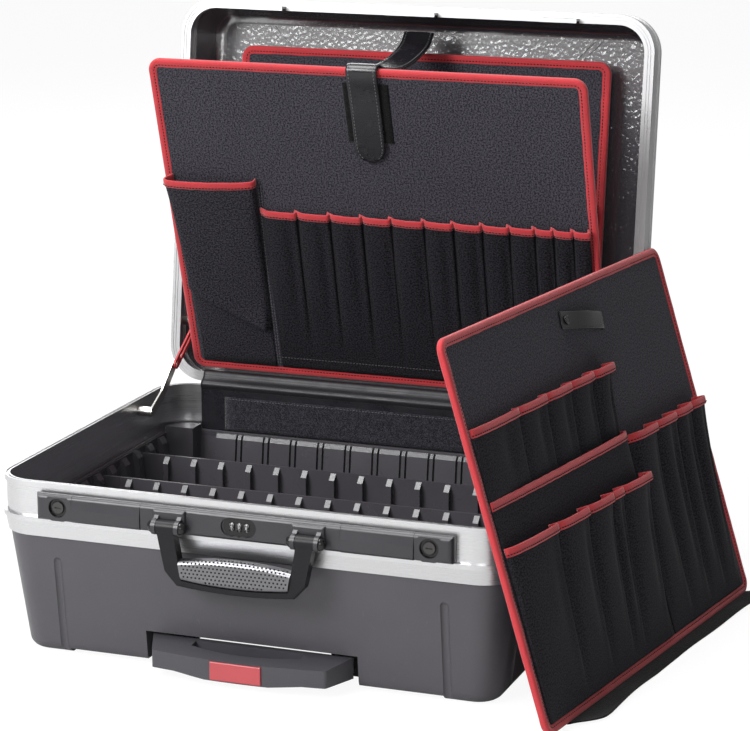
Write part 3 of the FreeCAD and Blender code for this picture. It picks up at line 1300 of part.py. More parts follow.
def stay_lower():
    """The lower metal arm, kinked near its foot and slotted along its middle."""
    lower = stay_lengths()[0]
    dy, dz = (STAY_ELBOW_Y - STAY_BASE_Y) / lower, (STAY_ELBOW_Z - STAY_BASE_Z) / lower
    along = lower * STAY_KINK_SHARE
    kink = (STAY_BASE_Y + dy * along + dz * STAY_KINK_DROP,
            STAY_BASE_Z + dz * along - dy * STAY_KINK_DROP)
    arm = link_plate([(STAY_BASE_Y, STAY_BASE_Z), kink, (STAY_ELBOW_Y, STAY_ELBOW_Z)],
                     STAY_X, STAY_THICKNESS)
    return arm.cut([eye(STAY_BASE_Y, STAY_BASE_Z, STAY_X),
                    eye(STAY_ELBOW_Y, STAY_ELBOW_Z, STAY_X)])


def stay_upper():
    """The upper red link, with a long slot, on the inner side of the lower arm."""
    x = STAY_X - STAY_THICKNESS - RUN_GAP
    lid = lid_point(STAY_LID_T, STAY_LID_D)
    link = link_plate([(STAY_ELBOW_Y, STAY_ELBOW_Z), lid], x, STAY_THICKNESS)
    upper = stay_lengths()[1]
    dy, dz = (lid[0] - STAY_ELBOW_Y) / upper, (lid[1] - STAY_ELBOW_Z) / upper
    start, end = STAY_WIDTH, upper - STAY_WIDTH
    half = STAY_SLOT_WIDTH / 2
    slot = []
    for run, side in ((start, half), (end, half), (end, -half), (start, -half)):
        slot.append((STAY_ELBOW_Y + dy * run - dz * side, STAY_ELBOW_Z + dz * run + dy * side))
    return link.cut([side_profile(slot, x - OVERRUN, x + STAY_THICKNESS + OVERRUN),
                     eye(STAY_ELBOW_Y, STAY_ELBOW_Z, x), eye(lid[0], lid[1], x)])


def stay_base_bracket():
    """A boss from the frame's inner wall through the eye of the lower arm."""
    wall = SIDE_X - FRAME_WALL - SEAT_GAP
    shoulder = rod(STAY_WIDTH / 2, Vector(STAY_X + STAY_THICKNESS + RUN_GAP, STAY_BASE_Y,
                                          STAY_BASE_Z), Vector(wall, STAY_BASE_Y, STAY_BASE_Z))
    pin = rod(STAY_PIN, Vector(STAY_X - RUN_GAP, STAY_BASE_Y, STAY_BASE_Z),
              Vector(wall, STAY_BASE_Y, STAY_BASE_Z))
    return fused([shoulder, pin])


def stay_lid_bracket():
    """A boss from the lid frame's inner wall through the eye of the upper link."""
    y, z = lid_point(STAY_LID_T, STAY_LID_D)
    wall = SIDE_X - FRAME_WALL - SEAT_GAP
    x = STAY_X - STAY_THICKNESS - RUN_GAP
    shoulder = rod(STAY_WIDTH / 2, Vector(x + STAY_THICKNESS + RUN_GAP, y, z), Vector(wall, y, z))
    pin = rod(STAY_PIN, Vector(x - RUN_GAP, y, z), Vector(wall, y, z))
    return fused([shoulder, pin])


# Tool boards: each is drawn flat, X along its foot from the middle, Y up it, Z its front

def board_outline(width, height, inset, z):
    """A board's outline, drawn in by an inset, standing on the line y = 0."""
    wire = corner_rect(width - 2 * inset, height - 2 * inset, BOARD_CORNER - inset
                       if inset < BOARD_CORNER - BINDING_PROUD else BINDING_PROUD, z)
    wire.translate(Vector(0, height / 2, 0))
    return wire


def board_slab(width, height, inset, z0, z1):
    """A slab of a board between two depths."""
    return Part.Face(board_outline(width, height, inset, z0)).extrude(Vector(0, 0, z1 - z0))


def board_panel(width, height):
    """The stiff panel, its edge tucked into the binding."""
    return board_slab(width, height, BINDING_WIDTH - BINDING_TUCK, 0.0, BOARD_THICKNESS)


def board_binding(width, height):
    """The sewn binding round the edge."""
    outer = board_slab(width, height, 0.0, -BINDING_PROUD, BOARD_THICKNESS + BINDING_PROUD)
    outer = filleted(outer, BINDING_PROUD * 1.5, lambda edge: edge.BoundBox.ZLength < SEAT_GAP)
    window = board_slab(width, height, BINDING_WIDTH, -BINDING_PROUD - OVERRUN,
                        BOARD_THICKNESS + BINDING_PROUD + OVERRUN)
    tuck = board_slab(width, height, BINDING_WIDTH - BINDING_TUCK - BINDING_SEAT, -BINDING_SEAT,
                      BOARD_THICKNESS + BINDING_SEAT)
    return outer.cut([window, tuck])


def lens(x0, x1, depth, y, z0):
    """A pocket's cross-section: flat on the board, bowed out at the front."""
    start, end = Vector(x0, y, z0), Vector(x1, y, z0)
    middle = Vector((x0 + x1) / 2, y, z0 + depth)
    return Part.Wire([Part.makeLine(start, end), Part.Arc(end, middle, start).toShape()])


def pocket(x0, x1, foot, top, proud, z0):
    """One pocket: nearly flat at its foot, bowed at its mouth, cut off under its trim."""
    cut = top - TRIM_HEIGHT - POCKET_SEAT
    at_cut = POCKET_FOOT + (proud - POCKET_FOOT) * (cut - foot) / (top - foot)
    return Part.makeLoft([lens(x0, x1, POCKET_FOOT, foot, z0), lens(x0, x1, at_cut, cut, z0)],
                         True, True)


def pocket_trim(x0, x1, top, proud, z0):
    """The bound mouth of one pocket."""
    depth = proud + TRIM_PROUD
    return Part.makeLoft([lens(x0, x1, depth, top - TRIM_HEIGHT, z0), lens(x0, x1, depth, top, z0)],
                         True, True)


def pocket_row(left, right, count, foot, top, proud, z0):
    """A row of like pockets and their trims, as two lists."""
    pitch = (right - left) / count
    pockets, trims = [], []
    for index in range(count):
        x0 = left + index * pitch + POCKET_GAP / 2
        x1 = x0 + pitch - POCKET_GAP
        pockets.append(pocket(x0, x1, foot, top, proud, z0))
        trims.append(pocket_trim(x0, x1, top, proud, z0))
    return pockets, trims


POCKET_Z = BOARD_THICKNESS + POCKET_SEAT


def holster_section(left, right, proud, y, wall):
    """The holster's cross-section at one height, drawn in by a wall."""
    depth = proud - wall
    x0, x1 = left + wall, right - wall
    z0 = POCKET_Z + wall
    points = [Vector(x0, y, z0), Vector(x1, y, z0),
              Vector(x1 - proud / 4, y, z0 + depth - wall),
              Vector(x0 + proud / 4, y, z0 + depth - wall)]
    return Part.makePolygon(points + [points[0]])


def holster():
    """The holster pocket: open at its mouth, narrower and flatter at its foot."""
    top = HOLSTER_TOP
    foot_proud = HOLSTER_WALL * 3
    outer = Part.makeLoft([
        holster_section(HOLSTER_FOOT_LEFT, HOLSTER_FOOT_RIGHT, foot_proud, HOLSTER_BOTTOM, 0.0),
        holster_section(HOLSTER_LEFT, HOLSTER_RIGHT, HOLSTER_PROUD, top, 0.0)], True, True)
    inner = Part.makeLoft([
        holster_section(HOLSTER_FOOT_LEFT, HOLSTER_FOOT_RIGHT, foot_proud,
                        HOLSTER_BOTTOM + HOLSTER_WALL, HOLSTER_WALL),
        holster_section(HOLSTER_LEFT, HOLSTER_RIGHT, HOLSTER_PROUD, top + OVERRUN,
                        HOLSTER_WALL)], True, True)
    return outer.cut(inner)


def holster_parts():
    """The holster below its trim, and the trim round its mouth."""
    whole = holster()
    reach = HOLSTER_PROUD * 2
    above = box(HOLSTER_LEFT - reach, HOLSTER_RIGHT + reach, HOLSTER_TOP - TRIM_HEIGHT,
                HOLSTER_TOP + OVERRUN, 0.0, reach)
    below = box(HOLSTER_LEFT - reach, HOLSTER_RIGHT + reach, 0.0,
                HOLSTER_TOP - TRIM_HEIGHT - POCKET_SEAT, 0.0, reach)
    return whole.common(below), whole.common(above)


def placed_in_lid(shape, hinge_t, hinge_d, tilt):
    """A board stood up in the open lid, tilted forwards about its foot."""
    y, z = lid_point(hinge_t, hinge_d)
    moved = shape.copy()
    moved.rotate(Vector(0, 0, 0), X_AXIS, 90)
    moved.rotate(Vector(0, 0, 0), X_AXIS, tilt - (LID_ANGLE - 90))
    moved.translate(Vector(0, y, z))
    return moved


def lid_wall_t(d):
    """Where the lid's inner wall at the hinge side is, at a depth behind its rim plane."""
    if d < LID_FRAME_HEIGHT - LID_SOCKET:
        return HINGE_OUT + FRAME_WALL
    depth = LID_HEIGHT - LID_SHELL_WALL - LID_FRAME_HEIGHT
    draft = LID_SHELL_DRAFT * (d - LID_FRAME_HEIGHT) / depth
    return HINGE_OUT + LID_SHELL_INSET + draft + LID_SHELL_WALL


def board_hinges():
    """Two bars on the lid's wall that the boards' feet are sewn to."""
    bars = []
    for foot_t, d in ((FRONT_HINGE_T, FRONT_HINGE_D), (REAR_HINGE_T, REAR_HINGE_D)):
        top = foot_t - SEAT_GAP
        back = d + BOARD_HINGE_DEPTH
        outline = [(lid_wall_t(d) + SEAT_GAP, d), (top, d), (top, back),
                   (lid_wall_t(back) + SEAT_GAP, back)]
        bars.append(side_profile([lid_point(t, depth) for t, depth in outline],
                                 -BOARD_HINGE_HALF, BOARD_HINGE_HALF))
    return Part.makeCompound(bars)


def front_board():
    """All pieces of the front board, by node name."""
    pockets, trims = pocket_row(FRONT_ROW_LEFT, FRONT_ROW_RIGHT, FRONT_ROW_COUNT,
                                FRONT_ROW_BOTTOM, FRONT_ROW_TOP, FRONT_ROW_PROUD, POCKET_Z)
    holster_body, holster_trim = holster_parts()
    patch = box(FRONT_PATCH_X - FRONT_PATCH_WIDTH / 2, FRONT_PATCH_X + FRONT_PATCH_WIDTH / 2,
                FRONT_PATCH_BOTTOM, FRONT_PATCH_TOP, POCKET_Z, POCKET_Z + PATCH_THICKNESS)
    pieces = {
        "front_board_panel": board_panel(FRONT_WIDTH, FRONT_HEIGHT),
        "front_board_binding": board_binding(FRONT_WIDTH, FRONT_HEIGHT),
        "front_board_pockets": Part.makeCompound(pockets),
        "front_board_trims": Part.makeCompound(trims + [holster_trim]),
        "front_board_holster": holster_body,
        "front_board_patch": patch,
    }
    return {name: placed_in_lid(shape, FRONT_HINGE_T, FRONT_HINGE_D, FRONT_TILT)
            for name, shape in pieces.items()}


def rear_board():
    """All pieces of the rear board, by node name."""
    pockets, trims = pocket_row(-REAR_ROW_HALF, REAR_ROW_HALF, REAR_ROW_COUNT, REAR_ROW_BOTTOM,
                                REAR_ROW_TOP, REAR_ROW_PROUD, POCKET_Z)
    pieces = {
        "rear_board_panel": board_panel(REAR_WIDTH, REAR_HEIGHT),
        "rear_board_binding": board_binding(REAR_WIDTH, REAR_HEIGHT),
        "rear_board_pockets": Part.makeCompound(pockets),
        "rear_board_trims": Part.makeCompound(trims),
    }
    return {name: placed_in_lid(shape, REAR_HINGE_T, REAR_HINGE_D, 0.0)
            for name, shape in pieces.items()}


def loop_strip():
    """The belt loop: a strip that rises from the board and comes back to it."""
    middle = (LOOP_LEFT + LOOP_RIGHT) / 2
    foot = POCKET_Z

    def arch(rise, reach):
        """The arch's line, raised and widened."""
        return Part.Arc(Vector(LOOP_LEFT - reach, 0, foot), Vector(middle, 0, foot + rise),
                        Vector(LOOP_RIGHT + reach, 0, foot)).toShape()

    outer, inner = arch(LOOP_RISE, LOOP_THICKNESS), arch(LOOP_RISE - LOOP_THICKNESS, 0.0)
    ends = [Part.makeLine(Vector(LOOP_RIGHT + LOOP_THICKNESS, 0, foot),
                          Vector(LOOP_RIGHT, 0, foot)),
            Part.makeLine(Vector(LOOP_LEFT, 0, foot),
                          Vector(LOOP_LEFT - LOOP_THICKNESS, 0, foot))]
    wire = Part.Wire(Part.__sortEdges__([outer, inner] + ends))
    strip = Part.Face(wire).extrude(Vector(0, LOOP_WIDTH, 0))
    strip.translate(Vector(-LOOSE_WIDTH / 2, LOOP_V - LOOP_WIDTH / 2, 0))
    return strip


def loose_frame():
    """The placement of the leaning loose board: its foot on the floor."""
    yaw, lean = math.radians(LOOSE_YAW), math.radians(LOOSE_LEAN)
    along = Vector(math.cos(yaw), math.sin(yaw), 0)
    out = Vector(math.sin(yaw), -math.cos(yaw), 0)
    up = Z_AXIS * math.cos(lean) - out * math.sin(lean)
    corner = Vector(LOOSE_X, LOOSE_Y, BINDING_PROUD * math.sin(lean))
    return corner, along, up, out


def placed_loose(shape):
    """A piece of the loose board at its leaning place."""
    corner, along, up, out = loose_frame()
    normal = along.cross(up)
    start = corner + along * (LOOSE_WIDTH / 2)
    matrix = FreeCAD.Matrix(along.x, up.x, normal.x, start.x,
                            along.y, up.y, normal.y, start.y,
                            along.z, up.z, normal.z, start.z,
                            0, 0, 0, 1)
    moved = shape.copy()
    moved.Placement = FreeCAD.Placement(matrix).multiply(moved.Placement)
    return moved


def loose_flap():
    """The flap at the loose board's foot, lying out on the floor."""
    corner, along, up, out = loose_frame()
    lean = math.radians(LOOSE_LEAN)
    clear = (BOARD_THICKNESS + 2 * BINDING_PROUD) * math.cos(lean) + SEAT_GAP
    near = Vector(corner.x, corner.y, 0) + out * (clear - BINDING_PROUD * math.cos(lean)
                                                  - FLAP_TUCK)
    start, end = along * FLAP_START, along * FLAP_END
    wide = out * FLAP_WIDTH
    return prism([near + start, near + end, near + end + wide, near + start + wide],
                 Vector(0, 0, FLAP_THICKNESS))


def loose_board():
    """All pieces of the loose board, by node name."""
    left, right = TIER_LEFT - LOOSE_WIDTH / 2, TIER_RIGHT - LOOSE_WIDTH / 2
    step = TIER_PROUD + TRIM_PROUD + POCKET_SEAT
    upper, upper_trims = pocket_row(left, right, TIER_A_COUNT, TIER_B_TOP + POCKET_GAP,
                                    TIER_A_TOP, TIER_PROUD, POCKET_Z)
    wide, wide_trims = pocket_row(left, right, 1, TIER_C_TOP + POCKET_GAP, TIER_B_TOP,
                                  TIER_PROUD, POCKET_Z)
    lower, lower_trims = pocket_row(left, right, TIER_C_COUNT, TIER_FOOT, TIER_C_TOP,
                                    TIER_PROUD + step, POCKET_Z)
    side, side_trims = pocket_row(right, SIDE_RIGHT - LOOSE_WIDTH / 2, SIDE_COUNT, TIER_FOOT,
                                  SIDE_TOP, step, POCKET_Z)
    pieces = {
        "loose_board_panel": board_panel(LOOSE_WIDTH, LOOSE_HEIGHT),
        "loose_board_binding": board_binding(LOOSE_WIDTH, LOOSE_HEIGHT),
        "loose_board_upper_pockets": Part.makeCompound(upper + wide),
        "loose_board_lower_pockets": Part.makeCompound(lower),
        "loose_board_side_pockets": Part.makeCompound(side),
        "loose_board_trims": Part.makeCompound(upper_trims + wide_trims + lower_trims
                                               + side_trims),
        "loose_board_loop": loop_strip(),
    }
    placed = {name: placed_loose(shape) for name, shape in pieces.items()}
    placed["loose_board_flap"] = loose_flap()
    return placed


def retaining_strap():
    """The strap from the lid's front edge over the front board's top and down its face."""
    foot_y, foot_z = lid_point(FRONT_HINGE_T, FRONT_HINGE_D)
    lean = math.radians(FRONT_TILT - (LID_ANGLE - 90))
    up = (-math.sin(lean), math.cos(lean))
    out = (-math.cos(lean), -math.sin(lean))
    off = BOARD_THICKNESS + BINDING_PROUD + 2 * SEAT_GAP
    back = BINDING_PROUD + SEAT_GAP

    def on_board(height, depth):
        """A point of the strap on the board's face, as (y, z)."""
        return (foot_y + up[0] * height + out[0] * depth,
                foot_z + up[1] * height + out[1] * depth)

    start = lid_point(STRAP_LID_T, STRAP_LID_D)
    over = FRONT_HEIGHT + 2 * SEAT_GAP
    crest = on_board(over, -back)
    middle = ((start[0] + crest[0]) / 2, (start[1] + crest[1]) / 2 - STRAP_SAG)
    points = [start, middle, crest, on_board(over, off - BINDING_PROUD),
              on_board(over - STRAP_THICKNESS, off),
              on_board(FRONT_HEIGHT - STRAP_DROP, off)]
    return ribbon(points, STRAP_THICKNESS, STRAP_X - STRAP_WIDTH / 2,
                  STRAP_X + STRAP_WIDTH / 2)


def all_nodes():
    """Every node of the case, in the case's own middle frame."""
    nodes = {
        "base_shell": base_shell(),
        "base_frame": base_frame(),
        "base_tray": base_tray(),
        "divider_front": divider(DIVIDER_FRONT_RIB_COUNT),
        "divider_rear": divider(DIVIDER_REAR_RIB_COUNT),
        "rear_wall_panel": rear_wall_panel(),
        "rear_patch": rear_patch(),
        "hinge_cover": hinge_cover(),
        "hinge_base_leaves": Part.makeCompound(hinge_leaves("base")),
        "lock_rail": lock_rail(),
        "lock_caps": Part.makeCompound([lock_cap(-1), lock_cap(1)]),
        "handle_bolts": handle_bolts(),
        "carry_handle": carry_handle(),
        "handle_grip": handle_grip(),
        "trolley_outer_tubes": tube_pair(0),
        "trolley_middle_tubes": tube_pair(1),
        "trolley_inner_tubes": inner_tubes(),
        "trolley_clamps": tube_clamps(),
        "trolley_grip": trolley_grip(),
        "trolley_button": trolley_button(),
        "pins_and_axles": Part.makeCompound(hinge_pins() + wheel_axles()),
        "stay_base_brackets": both_sides(stay_base_bracket()),
        "stay_lid_brackets": both_sides(stay_lid_bracket()),
        "lid_frame": swung_open(lid_frame_with_catch_slots()),
        "lid_shell": swung_open(lid_shell()),
        "lid_catches": swung_open(Part.makeCompound(lid_catches())),
        "hinge_lid_leaves": swung_open(Part.makeCompound(hinge_leaves("lid"))),
        "board_hinges": board_hinges(),
        "retaining_strap": retaining_strap(),
    }
    for side, name in ((-1, "left"), (1, "right")):
        nodes["latch_lever_" + name] = latch_lever(side)
        nodes["key_cylinder_" + name] = key_cylinder(side)
        nodes["wheel_" + name] = wheel(side)
        nodes["stay_lower_" + name] = stay_lower() if side > 0 else mirrored(stay_lower())
        nodes["stay_upper_" + name] = stay_upper() if side > 0 else mirrored(stay_upper())
    for index, name in enumerate(("left", "middle", "right")):
        nodes["dial_" + name] = dial(index)
    nodes.update(front_board())
    nodes.update(rear_board())
    nodes.update(loose_board())
    return nodes


def origin_shift(nodes):
    """The move that puts the origin under the middle of the whole object's box."""
    bounds = FreeCAD.BoundBox()
    for shape in nodes.values():
        bounds.add(shape.optimalBoundingBox(False, False))
    return Vector(-bounds.Center.x, -bounds.Center.y, -bounds.ZMin)


def main():
    """Build every node and write its file."""
    nodes = all_nodes()
    shift = origin_shift(nodes)
    os.makedirs("parts", exist_ok=True)
    for name, shape in nodes.items():
        moved = shape.copy()
        moved.translate(shift)
        moved.exportStep("parts/" + name + ".step")


if __name__ == "__main__":
    main()
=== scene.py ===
import json
import math

import bpy
import numpy as np
from bpy.props import FloatProperty, FloatVectorProperty, PointerProperty
from mathutils import Matrix, Vector
from mathutils.bvhtree import BVHTree

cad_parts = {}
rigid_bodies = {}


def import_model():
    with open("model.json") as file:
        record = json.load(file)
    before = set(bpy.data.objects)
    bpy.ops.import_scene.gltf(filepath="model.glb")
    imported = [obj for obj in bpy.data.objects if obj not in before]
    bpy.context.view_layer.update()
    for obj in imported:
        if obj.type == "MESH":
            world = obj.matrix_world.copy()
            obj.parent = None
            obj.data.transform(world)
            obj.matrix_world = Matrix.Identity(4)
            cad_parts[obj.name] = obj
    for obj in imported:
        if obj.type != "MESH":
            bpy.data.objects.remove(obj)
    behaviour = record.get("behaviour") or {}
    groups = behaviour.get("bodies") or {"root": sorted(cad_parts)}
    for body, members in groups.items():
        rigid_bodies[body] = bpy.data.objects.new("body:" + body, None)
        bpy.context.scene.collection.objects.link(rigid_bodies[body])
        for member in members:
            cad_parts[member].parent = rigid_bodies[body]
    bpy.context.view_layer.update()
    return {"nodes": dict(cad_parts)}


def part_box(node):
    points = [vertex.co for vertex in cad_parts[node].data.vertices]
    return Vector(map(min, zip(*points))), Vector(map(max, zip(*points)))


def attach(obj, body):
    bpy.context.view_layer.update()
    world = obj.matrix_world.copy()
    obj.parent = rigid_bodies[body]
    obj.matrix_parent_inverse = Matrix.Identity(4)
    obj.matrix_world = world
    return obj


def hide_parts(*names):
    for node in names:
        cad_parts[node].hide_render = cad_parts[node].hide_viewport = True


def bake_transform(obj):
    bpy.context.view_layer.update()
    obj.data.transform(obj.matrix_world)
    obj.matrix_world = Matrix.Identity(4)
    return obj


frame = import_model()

bl_info = {
    "name": "Tool case finish",
    "version": (1, 0, 0),
    "blender": (4, 5, 0),
    "location": "View3D > Sidebar > Tool case",
    "description": "Sews the tool boards and gives the open tool case its finishes and stage",
    "category": "Object",
}

# Pieces are worked out in millimetres about the middle of the lower case, X across it,
# Y to the rear, Z up, and put into the frame's metres when their mesh is made.
MM = 0.001
_low, _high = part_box("base_frame")
CASE_MIDDLE = np.array([(_low.x + _high.x) / 2, (_low.y + _high.y) / 2, 0.0])

# The open lid: its hinge line, how far it leans back and how far its rim plane is off
HINGE_Y = 218.0
HINGE_Z = 184.2
LID_LEAN = math.radians(7.2)
RIM_RISE = 0.2

# Boards: width and height, and how the foot stands and the board leans. A foot in the
# lid is given along the lid and behind its rim.
BOARD = 4.0
CORNER = 14.0
TAPE_WIDTH = 10.0
TAPE_PROUD = 1.6
FRONT_SIZE = (489.0, 382.0)
FRONT_LEAN = math.radians(17.5)
FRONT_FOOT = (19.5, 9.0)
REAR_SIZE = (432.0, 363.0)
REAR_FOOT = (19.5, 44.0)
LOOSE_SIZE = (510.0, 386.0)
LOOSE_CORNER = (321.9, -259.0)
LOOSE_YAW = math.radians(81.8)
LOOSE_LEAN = math.radians(17.8)
LOOSE_ALONG = np.array([math.cos(LOOSE_YAW), math.sin(LOOSE_YAW), 0.0])
LOOSE_OUT = np.array([math.sin(LOOSE_YAW), -math.cos(LOOSE_YAW), 0.0])

# Seams: how far the binding's lies from the board's edge, the dashes' pitch and length,
# and where a pocket's cloth starts above the binding
SEAM_INSET = 6.3
STITCH_PITCH = 3.7
STITCH = 3.0
HEM = TAPE_WIDTH + 0.3

# Cloth of a pocket: how far from the board's middle plane it lies, and its mouth tape's
# thickness and width
CLOTH_LIES = BOARD + 1.2
MOUTH_TAPE = (2.5, 9.0)

# Pleated rows: seed of their waves, ends along the board, heights of foot and mouth, the
# pockets' widths from left to right, how far they stand out and fold over their own seam
TIERS_LEFT, TIERS_RIGHT, SIDE_RIGHT = (x - LOOSE_SIZE[0] / 2 for x in (9.0, 305.0, 491.0))
FRONT_ROW = (3, (-135.0, 235.0), (24.0, 211.0),
             (39.5, 38.0, 37.0, 33.0, 37.0, 33.0, 32.0, 30.0, 28.0, 20.5, 21.5, 19.0))
REAR_ROW = (5, (-206.0, 206.0), (24.0, 212.0), (1.0,) * 8, 8.5, 2.0)
TOP_TIER = (13, (TIERS_LEFT, TIERS_RIGHT), (206.0, 297.0), (30.0, 20.0, 18.0, 17.0, 15.0),
            (6.0, 8.0, 9.5, 11.0, 14.0), 3.6)
LOW_TIER = (19, (TIERS_LEFT, TIERS_RIGHT - 6.0), (16.0, 181.0), (30.0, 21.0, 18.0, 9.0, 22.0),
            (9.0, 12.0, 13.0, 11.0, 14.0), 3.8)
SIDE_ROW = (23, (TIERS_RIGHT + 3.0, SIDE_RIGHT), (16.0, 220.0), (30.0, 27.0, 23.0, 20.0),
            15.0, 4.2)

TOP_TIER_HEM = 200.0

# How the cloth comes forwards from foot to mouth, and how it swells on its way
RISE = 0.85
BELLY = 0.14

# The holster: heights, ends of its mouth and of its foot, corners of its mouth, and its
# side seam from foot to mouth, sewn twice
HOLSTER_HEIGHTS = (44.0, 246.0)
HOLSTER_MOUTH_ENDS = (-234.0, -137.0)
HOLSTER_FOOT_ENDS = (-231.0, -142.0)
HOLSTER_MOUTH = ((-234.0, 0.6), (-238.0, 6.0), (-240.0, 12.0), (-237.5, 15.5), (-230.0, 17.0),
                 (-205.0, 17.5), (-175.0, 15.5), (-150.0, 12.0), (-139.0, 9.5), (-136.2, 5.0),
                 (-137.0, 0.6))
HOLSTER_SEAM = ((-140.0, 14.0), (-134.5, 238.0))
HOLSTER_SEAM_SHIFTS = (0.0, 3.0)
HOOK_PATCH = ((-23.0, 29.0), (297.0, 366.0))

# The wide tier: heights, and its mouth as shares of its width and depths
WIDE_TIER_HEIGHTS = (16.0, 226.0)
WIDE_TIER_MOUTH = ((0.0, 0.4), (0.05, 2.0), (0.3, 6.0), (0.6, 9.0), (0.88, 12.0), (0.97, 11.0))

# The leather loop: left end along and up the board, arch, dip, and the snap's profile
LOOP_END = 254.0
LOOP_HEIGHT = 354.0
LOOP_ARCH = ((244.0, 0.6), (250.0, 0.9), (262.0, 2.0), (288.0, 8.2), (310.0, 8.2),
             (326.0, 6.0), (331.5, 2.4), (330.0, 0.6))
LOOP_DIP = math.radians(-12.0)
SNAP_RADII = (0.4, 1.6, 2.6, 3.4, 4.2, 4.8, 4.9, 4.4)
SNAP_HEIGHTS = (2.3, 2.4, 2.0, 2.6, 2.7, 2.2, 1.2, -0.4)

# The floor flap's ends along the board
FLAP_ENDS = (45.0, 503.0)

# Rear wall, the hinge cover's corners on the lower case (y, z) and on the lid (along it,
# behind its rim), and the strap with its start on the lid
COVER_ON_CASE = ((208.5, 181.0), (207.2, 187.0))
COVER_ON_LID = ((7.0, -3.6), (12.5, -3.0), (14.4, -0.6), (14.6, 5.0))
STRAP_START = (405.0, 20.0)
WALL_PLANE = 209.6
WALL_HALF = 230.0
WALL_PATCH_HALF = 201.0
STRAP_MIDDLE = 2.0
STRAP_HALF = 17.0


# Lines and surfaces

def rounded(points, passes=3):
    """Corner cutting: every side is kept from its first to its third quarter, pass by pass."""
    for _ in range(passes):
        start, end = points[:-1], points[1:]
        cut = np.stack([start * 0.75 + end * 0.25, start * 0.25 + end * 0.75], 1)
        points = np.vstack([points[:1], cut.reshape(-1, points.shape[1]), points[-1:]])
    return points


def run_of(points):
    """The line's length from its first point to each point."""
    return np.concatenate([[0.0], np.cumsum(np.linalg.norm(np.diff(points, axis=0), axis=1))])


def read_at(values, run, wanted):
    """Values kept at a line's points, read at the wanted lengths."""
    return np.stack([np.interp(wanted, run, column) for column in values.T], 1)


def resampled(points, count):
    """The same line with its points at equal steps of its length."""
    run = run_of(points)
    return read_at(points, run, np.linspace(0.0, run[-1], count))


def unit(vectors):
    """Vectors brought to length one along their last axis."""
    return vectors / np.maximum(np.linalg.norm(vectors, axis=-1, keepdims=True), 1e-12)


def left_of(line):
    """The direction to the left of a flat line, at each of its points."""
    tangent = unit(np.gradient(line, axis=0))
    return np.stack([-tangent[:, 1], tangent[:, 0]], 1)


def circle(count):
    """The angles of evenly spaced spots round a circle."""
    return np.linspace(0.0, math.tau, count, endpoint=False)


def smooth(x):
    """Zero below 0, one above 1, 3x squared less 2x cubed between."""
    x = np.clip(x, 0.0, 1.0)
    return x * x * (3.0 - 2.0 * x)


def power_wave(values, power):
    """The values' size raised to a power, with their sign kept: it squares up a circle."""
    return np.sign(values) * np.abs(values) ** power


def ripples(u, v, length, seed):
    """A sum of six sine waves of random heading and phase, about the given length apart."""
    chance = np.random.default_rng(seed)
    total = np.zeros(np.broadcast(u, v).shape)
    for _ in range(6):
        turn, phase = chance.uniform(0.0, math.tau, 2)
        size = length * chance.uniform(0.6, 1.6)
        total += np.sin((u * math.cos(turn) + v * math.sin(turn)) * math.tau / size + phase)
    return total / 6.0


def stepped(values, wrap):
    """Running length of a grid along its first axis, averaged over the second, from zero."""
    following = np.roll(values, -1, axis=0) if wrap else values[1:]
    here = values if wrap else values[:-1]
    return np.concatenate([[0.0], np.cumsum(np.linalg.norm(following - here, axis=2).mean(1))])


def piece(name, points, faces, corners=None):
    """A smooth mesh object at the origin, from case millimetres; corners are its UVs in metres."""
    mesh = bpy.data.meshes.new(name)
    mesh.from_pydata((points.reshape(-1, 3) * MM + CASE_MIDDLE).tolist(), [], faces)
    if corners is not None:
        layer = mesh.uv_layers.new(name="cloth")
        layer.data.foreach_set("uv", np.asarray(corners, dtype=np.float32).ravel())
    mesh.polygons.foreach_set("use_smooth", np.ones(len(faces), dtype=bool))
    mesh.update()
    made = bpy.data.objects.new(name, mesh)
    bpy.context.scene.collection.objects.link(made)
    return made


def quads(rows, columns, wrap_rows, wrap_columns):
    """The quads of a grid, which face row direction times column direction: their corners'
    rows and columns, and their point numbers."""
    a, b = np.meshgrid(np.arange(rows if wrap_rows else rows - 1),
                       np.arange(columns if wrap_columns else columns - 1), indexing="ij")
    row = np.stack([a, a + 1, a + 1, a], -1).reshape(-1, 4)
    column = np.stack([b, b, b + 1, b + 1], -1).reshape(-1, 4)
    return row, column, (row % rows) * columns + column % columns


def caps(rows, columns):
    """The first and the last ring of a tube's grid as two faces."""
    ring = np.arange(columns)
    return np.array([ring, ring[::-1] + (rows - 1) * columns])


def surface(name, points, wrap_rows=False, wrap_columns=False):
    """A grid of points (rows, columns, 3) as quads. A grid wrapped in its columns and open
    in its rows gets a cap at each end."""
    rows, columns = points.shape[:2]
    row, column, numbers = quads(rows, columns, wrap_rows, wrap_columns)
    faces = numbers.tolist()
    along = stepped(points, wrap_rows) * MM
    across = stepped(points.transpose(1, 0, 2), wrap_columns) * MM
    corners = np.stack([along[row], across[column]], -1).reshape(-1, 2)
    if wrap_columns and not wrap_rows:
        faces += caps(rows, columns).tolist()
        corners = np.vstack([corners, np.zeros((2 * columns, 2))])
    return piece(name, points, faces, corners)


def thickened(made, thickness, offset=0.0):
    """Gives a sheet its cloth thickness, in millimetres."""
    shell = made.modifiers.new("thickness", "SOLIDIFY")
    shell.thickness = thickness * MM
    shell.offset = offset
    return made


